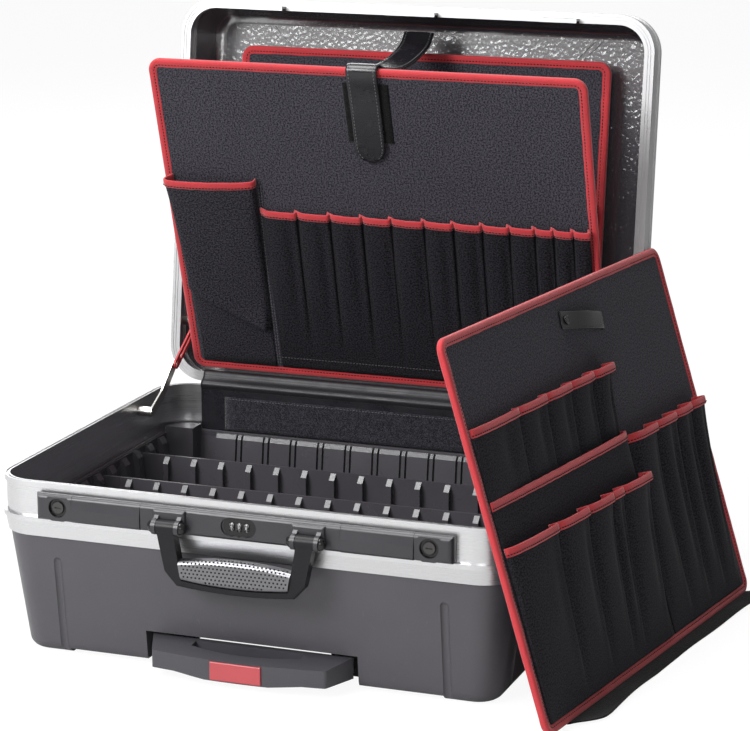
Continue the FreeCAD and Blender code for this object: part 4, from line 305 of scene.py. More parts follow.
def studs(name, centre, axes, shape):
    """One small closed body at many places: rings of points, given by how far each lies
    along a place's three axes, with a cap on the first ring and one on the last."""
    points = centre[:, None, None]
    for axis, amount in zip(axes, np.broadcast_arrays(*shape)):
        points = points + axis[:, None, None] * amount[None, :, :, None]
    rings, around = points.shape[1:3]
    shift = (np.arange(len(centre)) * rings * around)[:, None, None]
    faces = []
    for part in (quads(rings, around, False, True)[2], caps(rings, around)):
        faces += (part + shift).reshape(-1, part.shape[1]).tolist()
    return piece(name, points, faces)


def stitch_row(name, line, normals, length, radius, pitch=STITCH_PITCH):
    """Thread dashes along a line: each is four rings of five points round the line's own
    direction, wider in the middle, whose ends dip under the surface."""
    run = run_of(line)
    count = max(int(run[-1] / pitch), 1)
    wanted = (np.arange(count) + 0.5) * run[-1] / count
    slope = np.gradient(line, axis=0) / np.maximum(np.gradient(run)[:, None], 1e-9)
    tangent = unit(read_at(slope, run, wanted))
    normal = unit(read_at(normals, run, wanted))
    station = np.array([-0.5, -0.28, 0.28, 0.5])[:, None] * length
    size = np.array([0.45, 1.0, 1.0, 0.45])[:, None] * radius
    height = np.array([-0.5, 0.4, 0.4, -0.5])[:, None] * radius
    turn = circle(5)
    return studs(name, read_at(line, run, wanted),
                 (tangent, normal, unit(np.cross(normal, tangent))),
                 (station, height + size * np.cos(turn), size * np.sin(turn)))


class Stand:
    """A board's own frame: u along its foot, v up it and w out of its front face."""

    def __init__(self, origin, u, v):
        self.origin = np.array(origin, float)
        self.axes = np.array([u, v, np.cross(u, v)], float)

    def turned(self, u, v, w):
        """A board direction as a case direction."""
        return np.stack(np.broadcast_arrays(u, v, w), -1).astype(float) @ self.axes

    def put(self, u, v, w):
        """Board places as case places."""
        return self.origin + self.turned(u, v, w)


def lid_point(t, d):
    """A point of the open lid: t along it from the hinge, d behind its rim plane."""
    return np.array([0.0,
                     HINGE_Y + t * math.sin(LID_LEAN) + (d + RIM_RISE) * math.cos(LID_LEAN),
                     HINGE_Z + t * math.cos(LID_LEAN) - (d + RIM_RISE) * math.sin(LID_LEAN)])


def lid_stand(foot, lean):
    """A board standing in the lid, leaning forwards by an angle."""
    return Stand(lid_point(*foot), (1.0, 0.0, 0.0), (0.0, -math.sin(lean), math.cos(lean)))


def loose_stand():
    """The loose board's frame, its foot's middle on the floor."""
    up = np.array([0.0, 0.0, math.cos(LOOSE_LEAN)]) - LOOSE_OUT * math.sin(LOOSE_LEAN)
    corner = np.array([*LOOSE_CORNER, TAPE_PROUD * math.sin(LOOSE_LEAN)])
    return Stand(corner + LOOSE_ALONG * LOOSE_SIZE[0] / 2, LOOSE_ALONG, up)


# Each board's frame, its size and the seed of its panel's waves
BOARDS = {
    "front_board": (lid_stand(FRONT_FOOT, FRONT_LEAN), FRONT_SIZE, 11),
    "rear_board": (lid_stand(REAR_FOOT, -LID_LEAN), REAR_SIZE, 21),
    "loose_board": (loose_stand(), LOOSE_SIZE, 31),
}


# Shader nodes

class Value:
    """An output of a node, with sums and products that are Math nodes of its tree."""

    def __init__(self, tree, socket):
        self.tree, self.socket = tree, socket

    def calc(self, operation, *others):
        """One step of arithmetic."""
        return node(self.tree, "Math", dict(enumerate((self, *others))), operation=operation)

    def __add__(self, other):
        return self.calc("ADD", other)

    def __mul__(self, other):
        return self.calc("MULTIPLY", other)


def node(tree, kind, inputs, output=0, **settings):
    """An output of a new node, whose sockets are set to plain values or fed by others."""
    made = tree.nodes.new("ShaderNode" + kind)
    for key, value in settings.items():
        setattr(made, key, value)
    for key, value in inputs.items():
        if isinstance(value, Value):
            tree.links.new(value.socket, made.inputs[key])
        else:
            made.inputs[key].default_value = value
    return Value(tree, made.outputs[output])


def sine(value, turn):
    """The sine of a value times a turn, from -1 to 1."""
    return (value * turn).calc("SINE")


def remap(value, low, high, to_low=0.0, to_high=1.0):
    """A value's range turned into another, held at its ends."""
    return node(value.tree, "MapRange", {0: value, 1: low, 2: high, 3: to_low, 4: to_high})


def tint(factor, first, second):
    """Two colours mixed by a factor."""
    first, second = (c if isinstance(c, Value) else (*c, 1.0) for c in (first, second))
    return node(factor.tree, "Mix", {0: factor, 6: first, 7: second}, 2, data_type="RGBA")


def noise(at, scale, detail=2.0, roughness=0.5):
    """Cloudy noise, from 0 to 1 about a half."""
    return node(at.tree, "TexNoise", {"Vector": at, "Scale": scale, "Detail": detail,
                                      "Roughness": roughness})


def cells(at, scale, feature="SMOOTH_F1"):
    """Distance within the cells of a random pattern."""
    return node(at.tree, "TexVoronoi", {"Vector": at, "Scale": scale}, feature=feature)


def vector(operation, first, second, output=0):
    """One step of arithmetic on coordinates."""
    return node(first.tree, "VectorMath", {0: first, 1: second}, output, operation=operation)


def split(flat):
    """The two coordinates of a place on cloth."""
    return (node(flat.tree, "SeparateXYZ", {0: flat}, axis) for axis in (0, 1))


def bump(height, depth):
    """A normal tilted by a height that is worth the given depth in metres."""
    return node(height.tree, "Bump", {"Height": height, "Distance": depth, "Strength": 1.0})


def shaded(colour, share):
    """A colour made darker or lighter by a share."""
    return tuple(min(c * share, 1.0) for c in colour)


def toned(factor, colour, dark, pale):
    """Two shades of a colour mixed by a factor."""
    return tint(factor, shaded(colour, dark), shaded(colour, pale))


def clouded(cloud, low, high):
    """A roughness that cloudy noise moves between two."""
    return remap(cloud, 0.3, 0.7, low, high)


def principled(made):
    """A material's shader."""
    return made.node_tree.nodes["Principled BSDF"]


def material(name, kind="Object", metallic=0.0, sheen=0.0, specular=0.5):
    """A material with its constants set on the shader, and its coordinates of one kind."""
    made = bpy.data.materials.new(name)
    made.use_nodes = True
    for key, value in (("Metallic", metallic), ("Sheen Weight", sheen),
                       ("Sheen Roughness", 0.45), ("Coat Roughness", 0.2),
                       ("Specular IOR Level", specular)):
        principled(made).inputs[key].default_value = value
    return made, coordinate(made, kind)


def coordinate(made, kind):
    """A material's coordinates of one kind."""
    return node(made.node_tree, "TexCoord", {}, kind)


def wire(made, *values):
    """Feeds the shader's colour, roughness and normal, as many as are given."""
    for key, value in zip(("Base Color", "Roughness", "Normal"), values):
        made.node_tree.links.new(value.socket, principled(made).inputs[key])
    return made


def moulded(name, colour, grain, depth, rough, scuff=0.5, specular=0.5):
    """Moulded plastic: a pebbled grain of the given size, cloudy tone and fine scuffs."""
    made, at = material(name, specular=specular)
    cloud = noise(at, 9.0, 4.0, 0.6)
    streaks = noise(vector("MULTIPLY", at, (1.0, 0.25, 0.4)), 260.0, 6.0, 0.7)
    marks = remap(streaks, 0.62, 0.74, 0.0, scuff)
    base = toned(cloud, colour, 0.82, 1.2)
    roughness = clouded(cloud, rough - 0.05, rough + 0.06) + marks * 0.12
    height = cells(at, 1.0 / grain) + noise(at, 2.2 / grain, 3.0) * 0.6
    return wire(made, tint(marks, base, shaded(colour, 2.0)), roughness, bump(height, depth))


def recessed(name, colour, nodes, reach):
    """Moulded plastic with painted shade round each of some round nodes: where a place lies within
    a reach, in metres, of a node's axis, its colour is darkened to near black and its roughness
    lowered to a gloss, standing for the shade in the recess there."""
    made = moulded(name, colour, 0.0006, 0.00004, 0.3, 0.25, 0.45)
    at = coordinate(made, "Object")
    # inside marks the recess that gets the painted shade
    inside = None
    for part in nodes:
        low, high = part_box(part)
        away = vector("MULTIPLY", vector("SUBTRACT", at, tuple((low + high) / 2)),
                      (1.0, 0.0, 1.0))
        far = vector("LENGTH", away, (0.0, 0.0, 0.0), 1)
        here = remap(far, reach - 0.0003, reach + 0.0003, 1.0, 0.0)
        inside = here if inside is None else inside.calc("MAXIMUM", here)
    base, rough = (Value(at.tree, principled(made).inputs[key].links[0].from_socket)
                   for key in ("Base Color", "Roughness"))
    # painted shade: the near-black colour fills the recess round each dial or key
    return wire(made, tint(inside, base, (0.004, 0.004, 0.0045)),
                node(at.tree, "Mix", {0: inside, 2: rough, 3: 0.2}))


def lid_plastic(name, colour, middle):
    """The lid's plastic: pebbled outside and glossy, slightly rippled, inside. A face is
    inside where it looks towards the lid's middle."""
    made, at = material(name, specular=0.6)
    principled(made).inputs["Coat IOR"].default_value = 2.5
    facing = vector("DOT_PRODUCT", vector("SUBTRACT", at, middle), coordinate(made, "Normal"), 1)
    inside = remap(facing, -0.004, 0.004, 1.0, 0.0)
    outer = bump(cells(at, 900.0) + noise(at, 2000.0), 0.0002)
    wave = noise(at, 30.0, 1.0) * 0.5 + cells(at, 240.0) + noise(at, 420.0, 3.0) * 0.16
    normal = node(at.tree, "Mix", {0: inside, 4: outer, 5: bump(wave * inside, 0.0011)}, 1,
                  data_type="VECTOR")
    base = toned(noise(at, 9.0, 4.0, 0.6), colour, 0.8, 1.2)
    at.tree.links.new(inside.socket, principled(made).inputs["Coat Weight"])
    return wire(made, base, remap(inside, 0.0, 1.0, 0.5, 0.13), normal)


def brushed(name, colour, rough, lines, turn=0.0):
    """Metal drawn lengthwise: noise pulled out along the run into fine lines, with faint
    clouds and handling marks. Lines gives how often the noise comes on each axis."""
    made, at = material(name, metallic=1.0)
    turned = node(at.tree, "Mapping", {"Vector": at, "Rotation": (turn, 0.0, 0.0)})
    drawn = noise(vector("MULTIPLY", turned, lines), 1.0, 5.0, 0.65)
    marks = remap(noise(at, 90.0, 6.0, 0.75), 0.62, 0.8)
    base = toned(drawn * 0.7 + noise(at, 7.0, 3.0) * 0.3, colour, 0.9, 1.07)
    roughness = clouded(drawn, rough - 0.05, rough + 0.05) + marks * 0.1
    return wire(made, base, roughness, bump(drawn, 0.000012))


def woven(name, colour, pitch, depth, twill=False, sheen=0.3, contrast=0.35, rough=0.88):
    """Cloth on its own UVs: two crossing sets of threads, plain or twill, with heather
    mottling where threads are thicker and paler."""
    made, flat = material(name, "UV", sheen=sheen, specular=0.12)
    u, v = split(flat)
    turn = math.tau / pitch
    if twill:
        threads = sine(u + v, turn * 0.7) * 0.35 + sine(v, turn * 1.6) * 0.15
    else:
        threads = sine(u, turn) * sine(v, turn) * 0.5
    slub = noise(vector("MULTIPLY", flat, (1.0, 1.6, 1.0)), 0.9 / pitch)
    cloud = noise(flat, 22.0, 4.0, 0.6)
    fleck = remap(noise(flat, 540.0, 2.0, 0.9), 0.38, 0.62, -0.8, 0.8)
    mottle = remap(threads * 0.45 + slub + fleck + cloud * 0.35, 0.1, 1.25)
    return wire(made, toned(mottle, colour, 1.0 - contrast, 1.0 + contrast),
                clouded(cloud, rough - 0.05, rough + 0.05), bump(threads + slub * 0.8, depth))


def binding_tape(name, colour):
    """Sewn tape: close ribs across its run, a little worn and shaded along it."""
    made, flat = material(name, "UV", sheen=0.35, specular=0.3)
    u, v = split(flat)
    rib, cross = sine(u, math.tau / 0.0009), sine(v, math.tau / 0.0007)
    slub = noise(flat, 700.0)
    cloud = noise(flat, 30.0, 4.0, 0.6)
    base = toned(remap(slub * 0.5 + cloud * 0.5, 0.25, 0.75), colour, 0.8, 1.16)
    return wire(made, base, clouded(cloud, 0.66, 0.8),
                bump(rib * 0.5 + cross * 0.2 + slub * 0.8, 0.00012))


def leather(name, colour, grain, rough, depth, specular=0.5):
    """Leather or grained vinyl: rounded cells with creases between, and clouded gloss."""
    made, at = material(name, specular=specular)
    drift = node(at.tree, "TexNoise", {"Vector": at, "Scale": 120.0}, 1)
    wavy = vector("ADD", at, vector("MULTIPLY", drift, (0.004, 0.004, 0.004)))
    crease = remap(cells(wavy, 1.0 / grain, "F1"), 0.25, 0.75, 1.0, 0.0)
    cloud = noise(at, 40.0, 4.0, 0.6)
    return wire(made, toned(crease * cloud, colour, 0.75, 1.6),
                clouded(cloud, rough - 0.07, rough + 0.08),
                bump(crease + noise(at, 2500.0) * 0.3, depth))


def looped_pile(name, colour):
    """Hook and loop tape: a rough pile of tiny curls in rows."""
    made, at = material(name, sheen=0.12, specular=0.15)
    curl = cells(at, 900.0)
    tufts = noise(at, 380.0, 4.0, 0.8)
    base = toned(remap(curl * 0.6 + tufts * 0.6, 0.42, 0.78), colour, 0.2, 2.4)
    return wire(made, base, clouded(noise(at, 60.0, 3.0), 0.86, 0.96),
                bump(curl + tufts, 0.0006))


FINISHES = {}
DIALS = ("dial_left", "dial_middle", "dial_right")
KEYS = ("key_cylinder_left", "key_cylinder_right")


def make_finishes(colours):
    """Every finish of the case, by name."""
    shell, strip, cloth, red, metal, button = (tuple(getattr(colours, key)) for key in (
        "shell", "strip", "cloth", "binding", "aluminium", "button"))
    low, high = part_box("lid_shell")
    lid_middle = tuple((low + high) / 2 + Vector((0.0, -0.03, 0.0)))
    return {
        "shell": moulded("shell_pebble", shell, 0.0011, 0.0001, 0.36, 0.3),
        "lid": lid_plastic("lid_plastic", shell, lid_middle),
        "tray": moulded("tray_plastic", shaded(shell, 0.8), 0.0009, 0.00008, 0.27, 0.15, 0.6),
        "strip": moulded("strip_plastic", strip, 0.0006, 0.00004, 0.3, 0.25, 0.45),
        # rail and caps carry painted shade in the recesses round the dials and keys
        "rail": recessed("rail_plastic_recess_shade", strip, DIALS, 0.0095),
        # painted light: the trolley grip is the lock strip's plastic made 1.7 times paler for its
        # lit front
        "grip": moulded("grip_plastic_painted_light", shaded(strip, 1.7), 0.0007, 0.00006, 0.36, 0.25),
        "caps": recessed("cap_plastic_recess_shade", strip, KEYS, 0.0098),
        "satin": moulded("satin_black", shaded(strip, 0.36), 0.0006, 0.00003, 0.34, 0.2, 0.2),
        "gloss": moulded("gloss_black", shaded(strip, 0.2), 0.0007, 0.00001, 0.12, 0.1),
        "rubber": moulded("tyre_rubber", shaded(shell, 0.7), 0.0012, 0.0002, 0.62, 0.3),
        "dial": moulded("dial_plastic", shaded(strip, 0.2), 0.0006, 0.00002, 0.28, 0.1),
        "red_plastic": moulded("red_plastic", button, 0.0006, 0.00004, 0.33, 0.2),
        "red_metal": moulded("red_enamel", (0.42, 0.03, 0.035), 0.0008, 0.00005, 0.3),
        "frame": brushed("frame_aluminium", metal, 0.3, (5.0, 5.0, 2600.0)),
        # painted shade: the lid frame is the frames' aluminium darkened to 0.68 so that its lit
        # face reflects less brightly
        "lid_frame": brushed("lid_frame_aluminium_painted_shade", shaded(metal, 0.68), 0.42,
                             (5.0, 2600.0, 5.0), LID_LEAN),
        "tube": brushed("tube_aluminium", shaded(metal, 0.9), 0.3, (900.0, 6.0, 900.0)),
        "steel": brushed("zinc_steel", (0.62, 0.6, 0.57), 0.32, (300.0, 300.0, 300.0)),
        "bright": brushed("bright_metal", (0.21, 0.21, 0.22), 0.36, (25.0, 900.0, 900.0)),
        # painted shade: the raised grip dots are near black, standing for the dark of dimples
        "dots": brushed("dot_metal_painted_shade", (0.035, 0.035, 0.038), 0.2, (900.0, 900.0, 900.0)),
        "lock": brushed("lock_metal", (0.085, 0.083, 0.082), 0.3, (60.0, 1200.0, 60.0)),
        "panel": woven("panel_cloth", cloth, 0.0014, 0.00006, sheen=0.1, contrast=0.75),
        "pocket": woven("pocket_cloth", shaded(cloth, 0.36), 0.0012, 0.0001, twill=True,
                        sheen=0.03, contrast=0.95, rough=0.72),
        "holster": woven("holster_cloth", shaded(cloth, 0.6), 0.0012, 0.0001, sheen=0.05,
                         contrast=0.95, rough=0.8),
        "tape": binding_tape("binding_tape", red),
        "strap": leather("strap_leather", (0.009, 0.0085, 0.011), 0.0012, 0.25, 0.00004),
        "vinyl": leather("wall_vinyl", (0.013, 0.0125, 0.016), 0.0016, 0.3, 0.00008),
        "cover": leather("cover_vinyl", (0.016, 0.0155, 0.019), 0.0016, 0.42, 0.00002, 0.3),
        "pile": looped_pile("looped_pile", (0.023, 0.022, 0.028)),
        "hooks": looped_pile("hook_tape", (0.0045, 0.0045, 0.005)),
        "thread": woven("thread", (0.01, 0.004, 0.005), 0.0006, 0.00005),
        "dark_thread": woven("dark_thread", (0.11, 0.11, 0.115), 0.0006, 0.00005),
        "digit": moulded("digit_paint", (0.75, 0.75, 0.74), 0.0006, 0.00001, 0.5, 0.0),
    }


# Which finish each rigid node of the frame takes
NODE_FINISHES = {
    "shell": ("base_shell",),
    "lid": ("lid_shell",),
    "frame": ("base_frame",),
    "lid_frame": ("lid_frame", "lid_catches"),
    "tray": ("base_tray", "divider_front", "divider_rear", "board_hinges"),
    "strip": ("latch_lever_left", "latch_lever_right"),
    "rail": ("lock_rail",),
    "caps": ("lock_caps",),
    "satin": ("carry_handle", "trolley_clamps"),
    # the grip finish holds painted light for the trolley grip's lit front
    "grip": ("trolley_grip",),
    "gloss": ("handle_bolts",),
    "bright": ("handle_grip",),
    "lock": KEYS,
    "tube": ("trolley_outer_tubes", "trolley_middle_tubes", "trolley_inner_tubes"),
    "steel": ("hinge_base_leaves", "hinge_lid_leaves", "pins_and_axles", "stay_base_brackets",
              "stay_lid_brackets", "stay_lower_left", "stay_lower_right"),
    "red_metal": ("stay_upper_left", "stay_upper_right"),
    "red_plastic": ("trolley_button",),
    "rubber": ("wheel_left", "wheel_right"),
    "dial": DIALS,
}


def dress(made, body, finish, slot, *replaced):
    """Gives a new piece its finish and its body, and hides the nodes that it stands for. The slot
    is not used.
    """
    made.data.materials.append(FINISHES[finish])
    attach(made, body)
    if replaced:
        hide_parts(*replaced)


# Pieces of a board

def board_outline(size, straight=44, curved=12):
    """A rectangle with round corners, counter-clockwise from the front, foot on v = 0:
    its points, and at each point the direction out of the edge."""
    width, height = size
    x, y = width / 2 - CORNER, height / 2 - CORNER
    turns, arcs = [], []
    for quarter, (sx, sy) in enumerate(((1, -1), (1, 1), (-1, 1), (-1, -1))):
        angle = (np.linspace(0.0, 1.0, curved) + quarter - 1) * math.pi / 2
        turns.append(np.stack([np.cos(angle), np.sin(angle)], 1))
        arcs.append(turns[-1] * CORNER + (sx * x, sy * y + height / 2))
    share = np.linspace(0.0, 1.0, straight + 2)[1:-1, None]
    points, outward = [], []
    for turn, here, following in zip(turns, arcs, arcs[1:] + arcs[:1]):
        points += [here, here[-1] * (1 - share) + following[0] * share]
        outward += [turn, turn[-1:].repeat(straight, 0)]
    return np.vstack(points), np.vstack(outward)


def panel(name, stand, size, seed):
    """The stiff panel: rings round its thickness, one above another, as wide as the round
    corners leave them. Its faces swell by under a millimetre between the bindings."""
    width, height = size
    inset = TAPE_WIDTH * 0.45
    radius = CORNER - inset
    v = np.linspace(inset, height - inset, 72)
    dip = np.clip(radius - np.minimum(v - inset, height - inset - v), 0.0, radius)
    half = width / 2 - inset - (radius - np.sqrt(np.maximum(radius ** 2 - dip ** 2, 0.0)))
    share = np.linspace(1.0, -1.0, 80)
    u, v = half[:, None] * share, v[:, None]
    swell = (1.0 - np.abs(share) ** 10) * (1.0 - np.abs(2 * v / height - 1) ** 10)
    wave = ripples(u, v, 130.0, seed) * 0.5 * swell
    front = stand.put(u, v, BOARD + 0.1 + 0.7 * swell + wave)
    back = stand.put(u, v, -0.1 - 0.7 * swell + wave)[:, ::-1]
    return surface(name, np.concatenate([front, back], 1), wrap_columns=True)


def binding(name, stand, size, seed):
    """The tape sewn over the edge: a squared-up oval carried round the outline, thinned by
    the seam's groove, with the slight waves of sewing and one overlapped end."""
    outline, outward = board_outline(size)
    run = np.linalg.norm(np.roll(outline, -1, axis=0) - outline, axis=1)
    along = np.concatenate([[0.0], np.cumsum(run)[:-1]])
    total = run.sum()
    turn = circle(28)
    inward = TAPE_WIDTH / 2 * (power_wave(np.cos(turn), 0.75) - 1.0)
    groove = 1.0 - 0.17 * np.exp(-((inward + SEAM_INSET) / 0.9) ** 2)
    flat = 1.0 - 0.22 * smooth((-inward - 4.0) / 6.0)
    thick = (BOARD / 2 + TAPE_PROUD) * power_wave(np.sin(turn), 0.55) * groove * flat
    cycle = along / total * math.tau
    chance = np.random.default_rng(seed)
    wobble = np.zeros_like(along)
    swell = np.zeros_like(along)
    for count in (9, 17, 31, 47, 71):
        wobble += np.sin(cycle * count + chance.uniform(0, math.tau)) * 0.05
        swell += np.sin(cycle * (count + 4) + chance.uniform(0, math.tau)) * 0.016
    lap_start = total * 0.79
    lap = smooth((along - lap_start) / 2.0) * smooth((lap_start + 22.0 - along) / 2.0)
    reach = inward * (1.0 + 0.3 * swell[:, None]) + wobble[:, None] * smooth(-inward / TAPE_WIDTH)
    u = outline[:, 0, None] + outward[:, 0, None] * reach
    v = outline[:, 1, None] + outward[:, 1, None] * reach
    w = BOARD / 2 + thick * (1.0 + swell + 0.12 * lap)[:, None]
    return surface(name, stand.put(u, v, w), wrap_rows=True, wrap_columns=True)


def binding_seam(name, stand, size, side):
    """The seam's dashes along the binding's inner edge, on one face of the board."""
    outline, outward = (np.vstack([part, part[:1]]) for part in board_outline(size))
    at = outline - outward * SEAM_INSET
    height = (BOARD / 2 + TAPE_PROUD) * 0.71
    line = stand.put(at[:, 0], at[:, 1], BOARD / 2 + side * height)
    normals = stand.turned(np.zeros(len(at)), np.zeros(len(at)), side)
    return stitch_row(name, line, normals, STITCH, 0.62)


def pleat(start, end, depth, overhang):
    """Corner points of one pocket's mouth, as (u, depth): it starts behind its neighbour's
    fold, comes forwards, and folds over its own seam."""
    width = end - start
    return np.array([
        (start, 0.03 * depth), (start + 0.4 * overhang, 0.22 * depth),
        (start + 1.5 * overhang, 0.4 * depth), (start + overhang + 0.12 * width, 0.76 * depth),
        (start + 0.5 * width, 0.95 * depth), (end - 0.1 * width, depth),
        (end + 0.75 * overhang, 0.98 * depth), (end + 1.05 * overhang, 0.8 * depth),
        (end + 0.5 * overhang, 0.42 * depth), (end, 0.03 * depth)])


def no_base(u, v):
    """The depth under a row that is sewn straight to its board."""
    return np.zeros(np.broadcast(u, v).shape)


class Row:
    """A pocket row's cloth: every pocket's mouth line, rounded and evenly stepped, and the
    straight line that it shrinks to at its foot. It lies on a base, and its waves have a
    seed."""

    def __init__(self, seed, heights, seams, corner_sets, samples=30, foot_seams=None,
                 base=no_base):
        mouths, feet, shares, pockets = [], [], [], []
        part = np.linspace(0.0, 1.0, samples)
        foot_seams = seams if foot_seams is None else foot_seams
        for index, corners in enumerate(corner_sets):
            keep = samples if index == len(corner_sets) - 1 else samples - 1
            mouths.append(resampled(rounded(corners), samples)[:keep])
            start, end = foot_seams[index], foot_seams[index + 1]
            feet.append((start + part * (end - start))[:keep])
            shares.append(part[:keep])
            pockets.append(np.full(keep, index))
        self.mouth = np.vstack(mouths)
        self.foot_u = np.concatenate(feet)
        self.share = np.concatenate(shares)
        self.pocket = np.concatenate(pockets)
        self.foot, self.top = heights
        self.seed, self.base = seed, base
        self.normal = left_of(self.mouth)
        self.sag = -0.5 * np.sin(math.pi * self.share) ** 0.8

    def height_share(self, v):
        """How far up the row heights lie: 0 at its foot, 1 at its mouth."""
        return np.clip((v - self.foot) / (self.top - self.foot), 0.0, 1.0)

    def place(self, v):
        """Cloth places at heights v: the foot line and the mouth line mixed by height."""
        q = self.height_share(v)
        rise = q ** RISE
        u = self.foot_u[:, None] + (self.mouth[:, 0] - self.foot_u)[:, None] * rise
        w = self.mouth[:, 1, None] * rise * (1.0 + BELLY * np.sin(math.pi * q)) + 0.3
        w = w + ripples(u, np.broadcast_to(v, u.shape), 46.0, self.seed) * 0.9 * rise * (1.2 - q)
        return u, w + self.base(u, v)

    def mouth_line(self):
        """The mouth's places and its own slight waves up and down."""
        u, w = self.place(np.full((1, 1), self.top))
        return u, w, ripples(u, u * 0.0, 17.0, self.seed + 5) * 0.35


def pleated(seed, ends, heights, shares, depths, overhang, base=no_base):
    """A row of pleated pockets between two ends, as wide as their shares say."""
    start, end = ends
    seams = start + (end - start) * np.concatenate([[0.0], np.cumsum(shares)]) / sum(shares)
    pockets = zip(seams, seams[1:], np.broadcast_to(depths, len(shares)))
    return Row(seed, heights, seams, [pleat(*pocket, overhang) for pocket in pockets],
               base=base)


def hanging_folds(row, u, v, w):
    """Every pocket's face falls back towards its right seam, with one soft fold whose place
    and depth differ from pocket to pocket, fading to nothing at the mouth and the foot."""
    chance = np.random.default_rng(row.seed + 100)
    count = int(row.pocket[-1]) + 1
    place = chance.uniform(0.62, 0.82, count)[row.pocket][:, None]
    strength = chance.uniform(0.7, 1.0, count)[row.pocket][:, None]
    share = row.share[:, None]
    face = 0.3 * smooth((share - 0.3) / 0.6)
    fold = 0.44 * strength * np.exp(-((share - place) / 0.12) ** 2)
    fade = np.sin(math.pi * row.height_share(v) ** 1.3) ** 0.8
    under = row.base(u, v)
    return under + (w - under) * (1.0 - (face + fold) * fade)


def holster_crease(row, v, w):
    """The holster's dart: above a line that falls from left to right the cloth stands out
    and ends in a sharp fold; under it the cloth lies flat."""
    share = row.share[:, None]
    line = 56.0 + (1.0 - share) ** 1.2 * 60.0
    above = smooth((v - line) / 3.0)
    weight = smooth(share * 6.0 + 0.2) * smooth((1.01 - share) * 12.0)
    fold = 10.0 * np.exp(-np.clip(v - line, 0.0, None) / 24.0) * weight * above
    calm = smooth((row.top - v) / 40.0)
    sweep = np.sin((share * 90.0 + v * 0.35) / 21.0) * 1.6 * smooth((v - 44.0) / 60.0) * calm
    return w * (1.0 - 0.6 * weight * (1.0 - above)) + fold + sweep


def row_cloth(name, stand, row, hem, crease, rows):
    """The row's cloth from its hem to its mouth: a hem laid flat, then the pleats."""
    v = np.concatenate([np.linspace(hem, row.foot, 4)[:-1],
                        np.linspace(row.foot, row.top - 1.0, rows)])[None]
    u, w = row.place(v)
    if crease is not None:
        w = crease(row, v, w)
    elif row.pocket[-1] > 0:
        w = hanging_folds(row, u, v, w)
    height = v + row.sag[:, None] * smooth((v - row.foot) / (row.top - row.foot))
    return thickened(surface(name, stand.put(u, height, CLOTH_LIES + w)), 1.0)


def mouth_tape(name, stand, row):
    """The bound mouth: a squared-up oval carried along the mouth line, folded over its
    edge, with its lower edge thinned."""
    u, w, wave = row.mouth_line()
    turn = circle(16)
    thickness, width = MOUTH_TAPE
    out = thickness / 2 * power_wave(np.cos(turn), 0.6) * (1.0 + 0.15 * np.sin(turn))
    up = width / 2 * (power_wave(np.sin(turn), 0.7) - 1.0) + 0.4
    across = u + row.normal[:, 0, None] * out
    proud = CLOTH_LIES + w + row.normal[:, 1, None] * out
    v = row.top + row.sag[:, None] + wave + up
    return surface(name, stand.put(across, v, proud), wrap_columns=True)


def mouth_seam(name, stand, row):
    """The dashes along the mouth tape's lower edge."""
    u, w, wave = row.mouth_line()
    offset, drop = 1.3, 6.2
    line = stand.put(u[:, 0] + row.normal[:, 0] * offset, row.top + row.sag + wave[:, 0] - drop,
                     CLOTH_LIES + w[:, 0] + row.normal[:, 1] * offset)
    normals = stand.turned(row.normal[:, 0], np.zeros(len(row.sag)), row.normal[:, 1])
    return stitch_row(name, line, normals, STITCH, 0.56)


def straight_seam(name, body, stand, start, end, depth):
    """A row of dashes on cloth between two board places."""
    share = np.linspace(0.0, 1.0, 60)
    u = start[0] + (end[0] - start[0]) * share
    v = start[1] + (end[1] - start[1]) * share
    zero = np.zeros_like(u)
    seam = stitch_row(name, stand.put(u, v, BOARD + depth), stand.turned(zero, zero, zero + 1.0),
                      2.4, 0.34)
    dress(seam, body, "dark_thread", "black_fabric")


def patch(name, stand, u_range, v_range, base, thickness):
    """A flat piece with softly rounded rim: a grid whose height falls off at its border."""
    uu, vv = np.meshgrid(np.linspace(*u_range, 40), np.linspace(*v_range, 40), indexing="ij")
    edge = np.minimum(np.minimum(uu - u_range[0], u_range[1] - uu),
                      np.minimum(vv - v_range[0], v_range[1] - vv))
    w = base + thickness * (0.35 + 0.65 * smooth(edge / 2.5))
    return thickened(surface(name, stand.put(uu, vv, w)), thickness * 0.5, -1.0)


def sewn_board(prefix, body):
    """A board's panel, binding and the binding's seams on both faces."""
    stand, size, seed = BOARDS[body]
    dress(panel(prefix + "_panel_cloth", stand, size, seed), body, "panel", "black_fabric",
          body + "_panel")
    dress(binding(prefix + "_binding_tape", stand, size, seed + 1), body, "tape",
          "red_binding", body + "_binding")
    for word, side in (("face", 1.0), ("back", -1.0)):
        dress(binding_seam(f"{prefix}_binding_seam_{word}", stand, size, side), body,
              "thread", "red_binding")


def sewn_row(prefix, body, row, nodes, hem=HEM, crease=None, hem_seam=False,
             finish="pocket", rows=44):
    """A row's cloth, mouth tape and seams."""
    stand = BOARDS[body][0]
    dress(row_cloth(prefix + "_cloth", stand, row, hem, crease, rows), body, finish,
          "black_fabric", *nodes)
    dress(mouth_tape(prefix + "_tape", stand, row), body, "tape", "red_binding")
    dress(mouth_seam(prefix + "_tape_seam", stand, row), body, "thread", "red_binding")
    if hem_seam:
        height = row.foot - 1.0
        straight_seam(prefix + "_hem_seam", body, stand, (row.foot_u[0], height),
                      (row.foot_u[-1], height), 2.1)


# Pieces and stage as operators

def colour_setting(name, description, default):
    """A colour that the sidebar shows."""
    return FloatVectorProperty(name=name, description=description, default=default,
                               subtype="COLOR", size=3, min=0.0, max=1.0)


def size_setting(name, description, default):
    """A length that the sidebar shows, in metres."""
    return FloatProperty(name=name, description=description, default=default, unit="LENGTH")


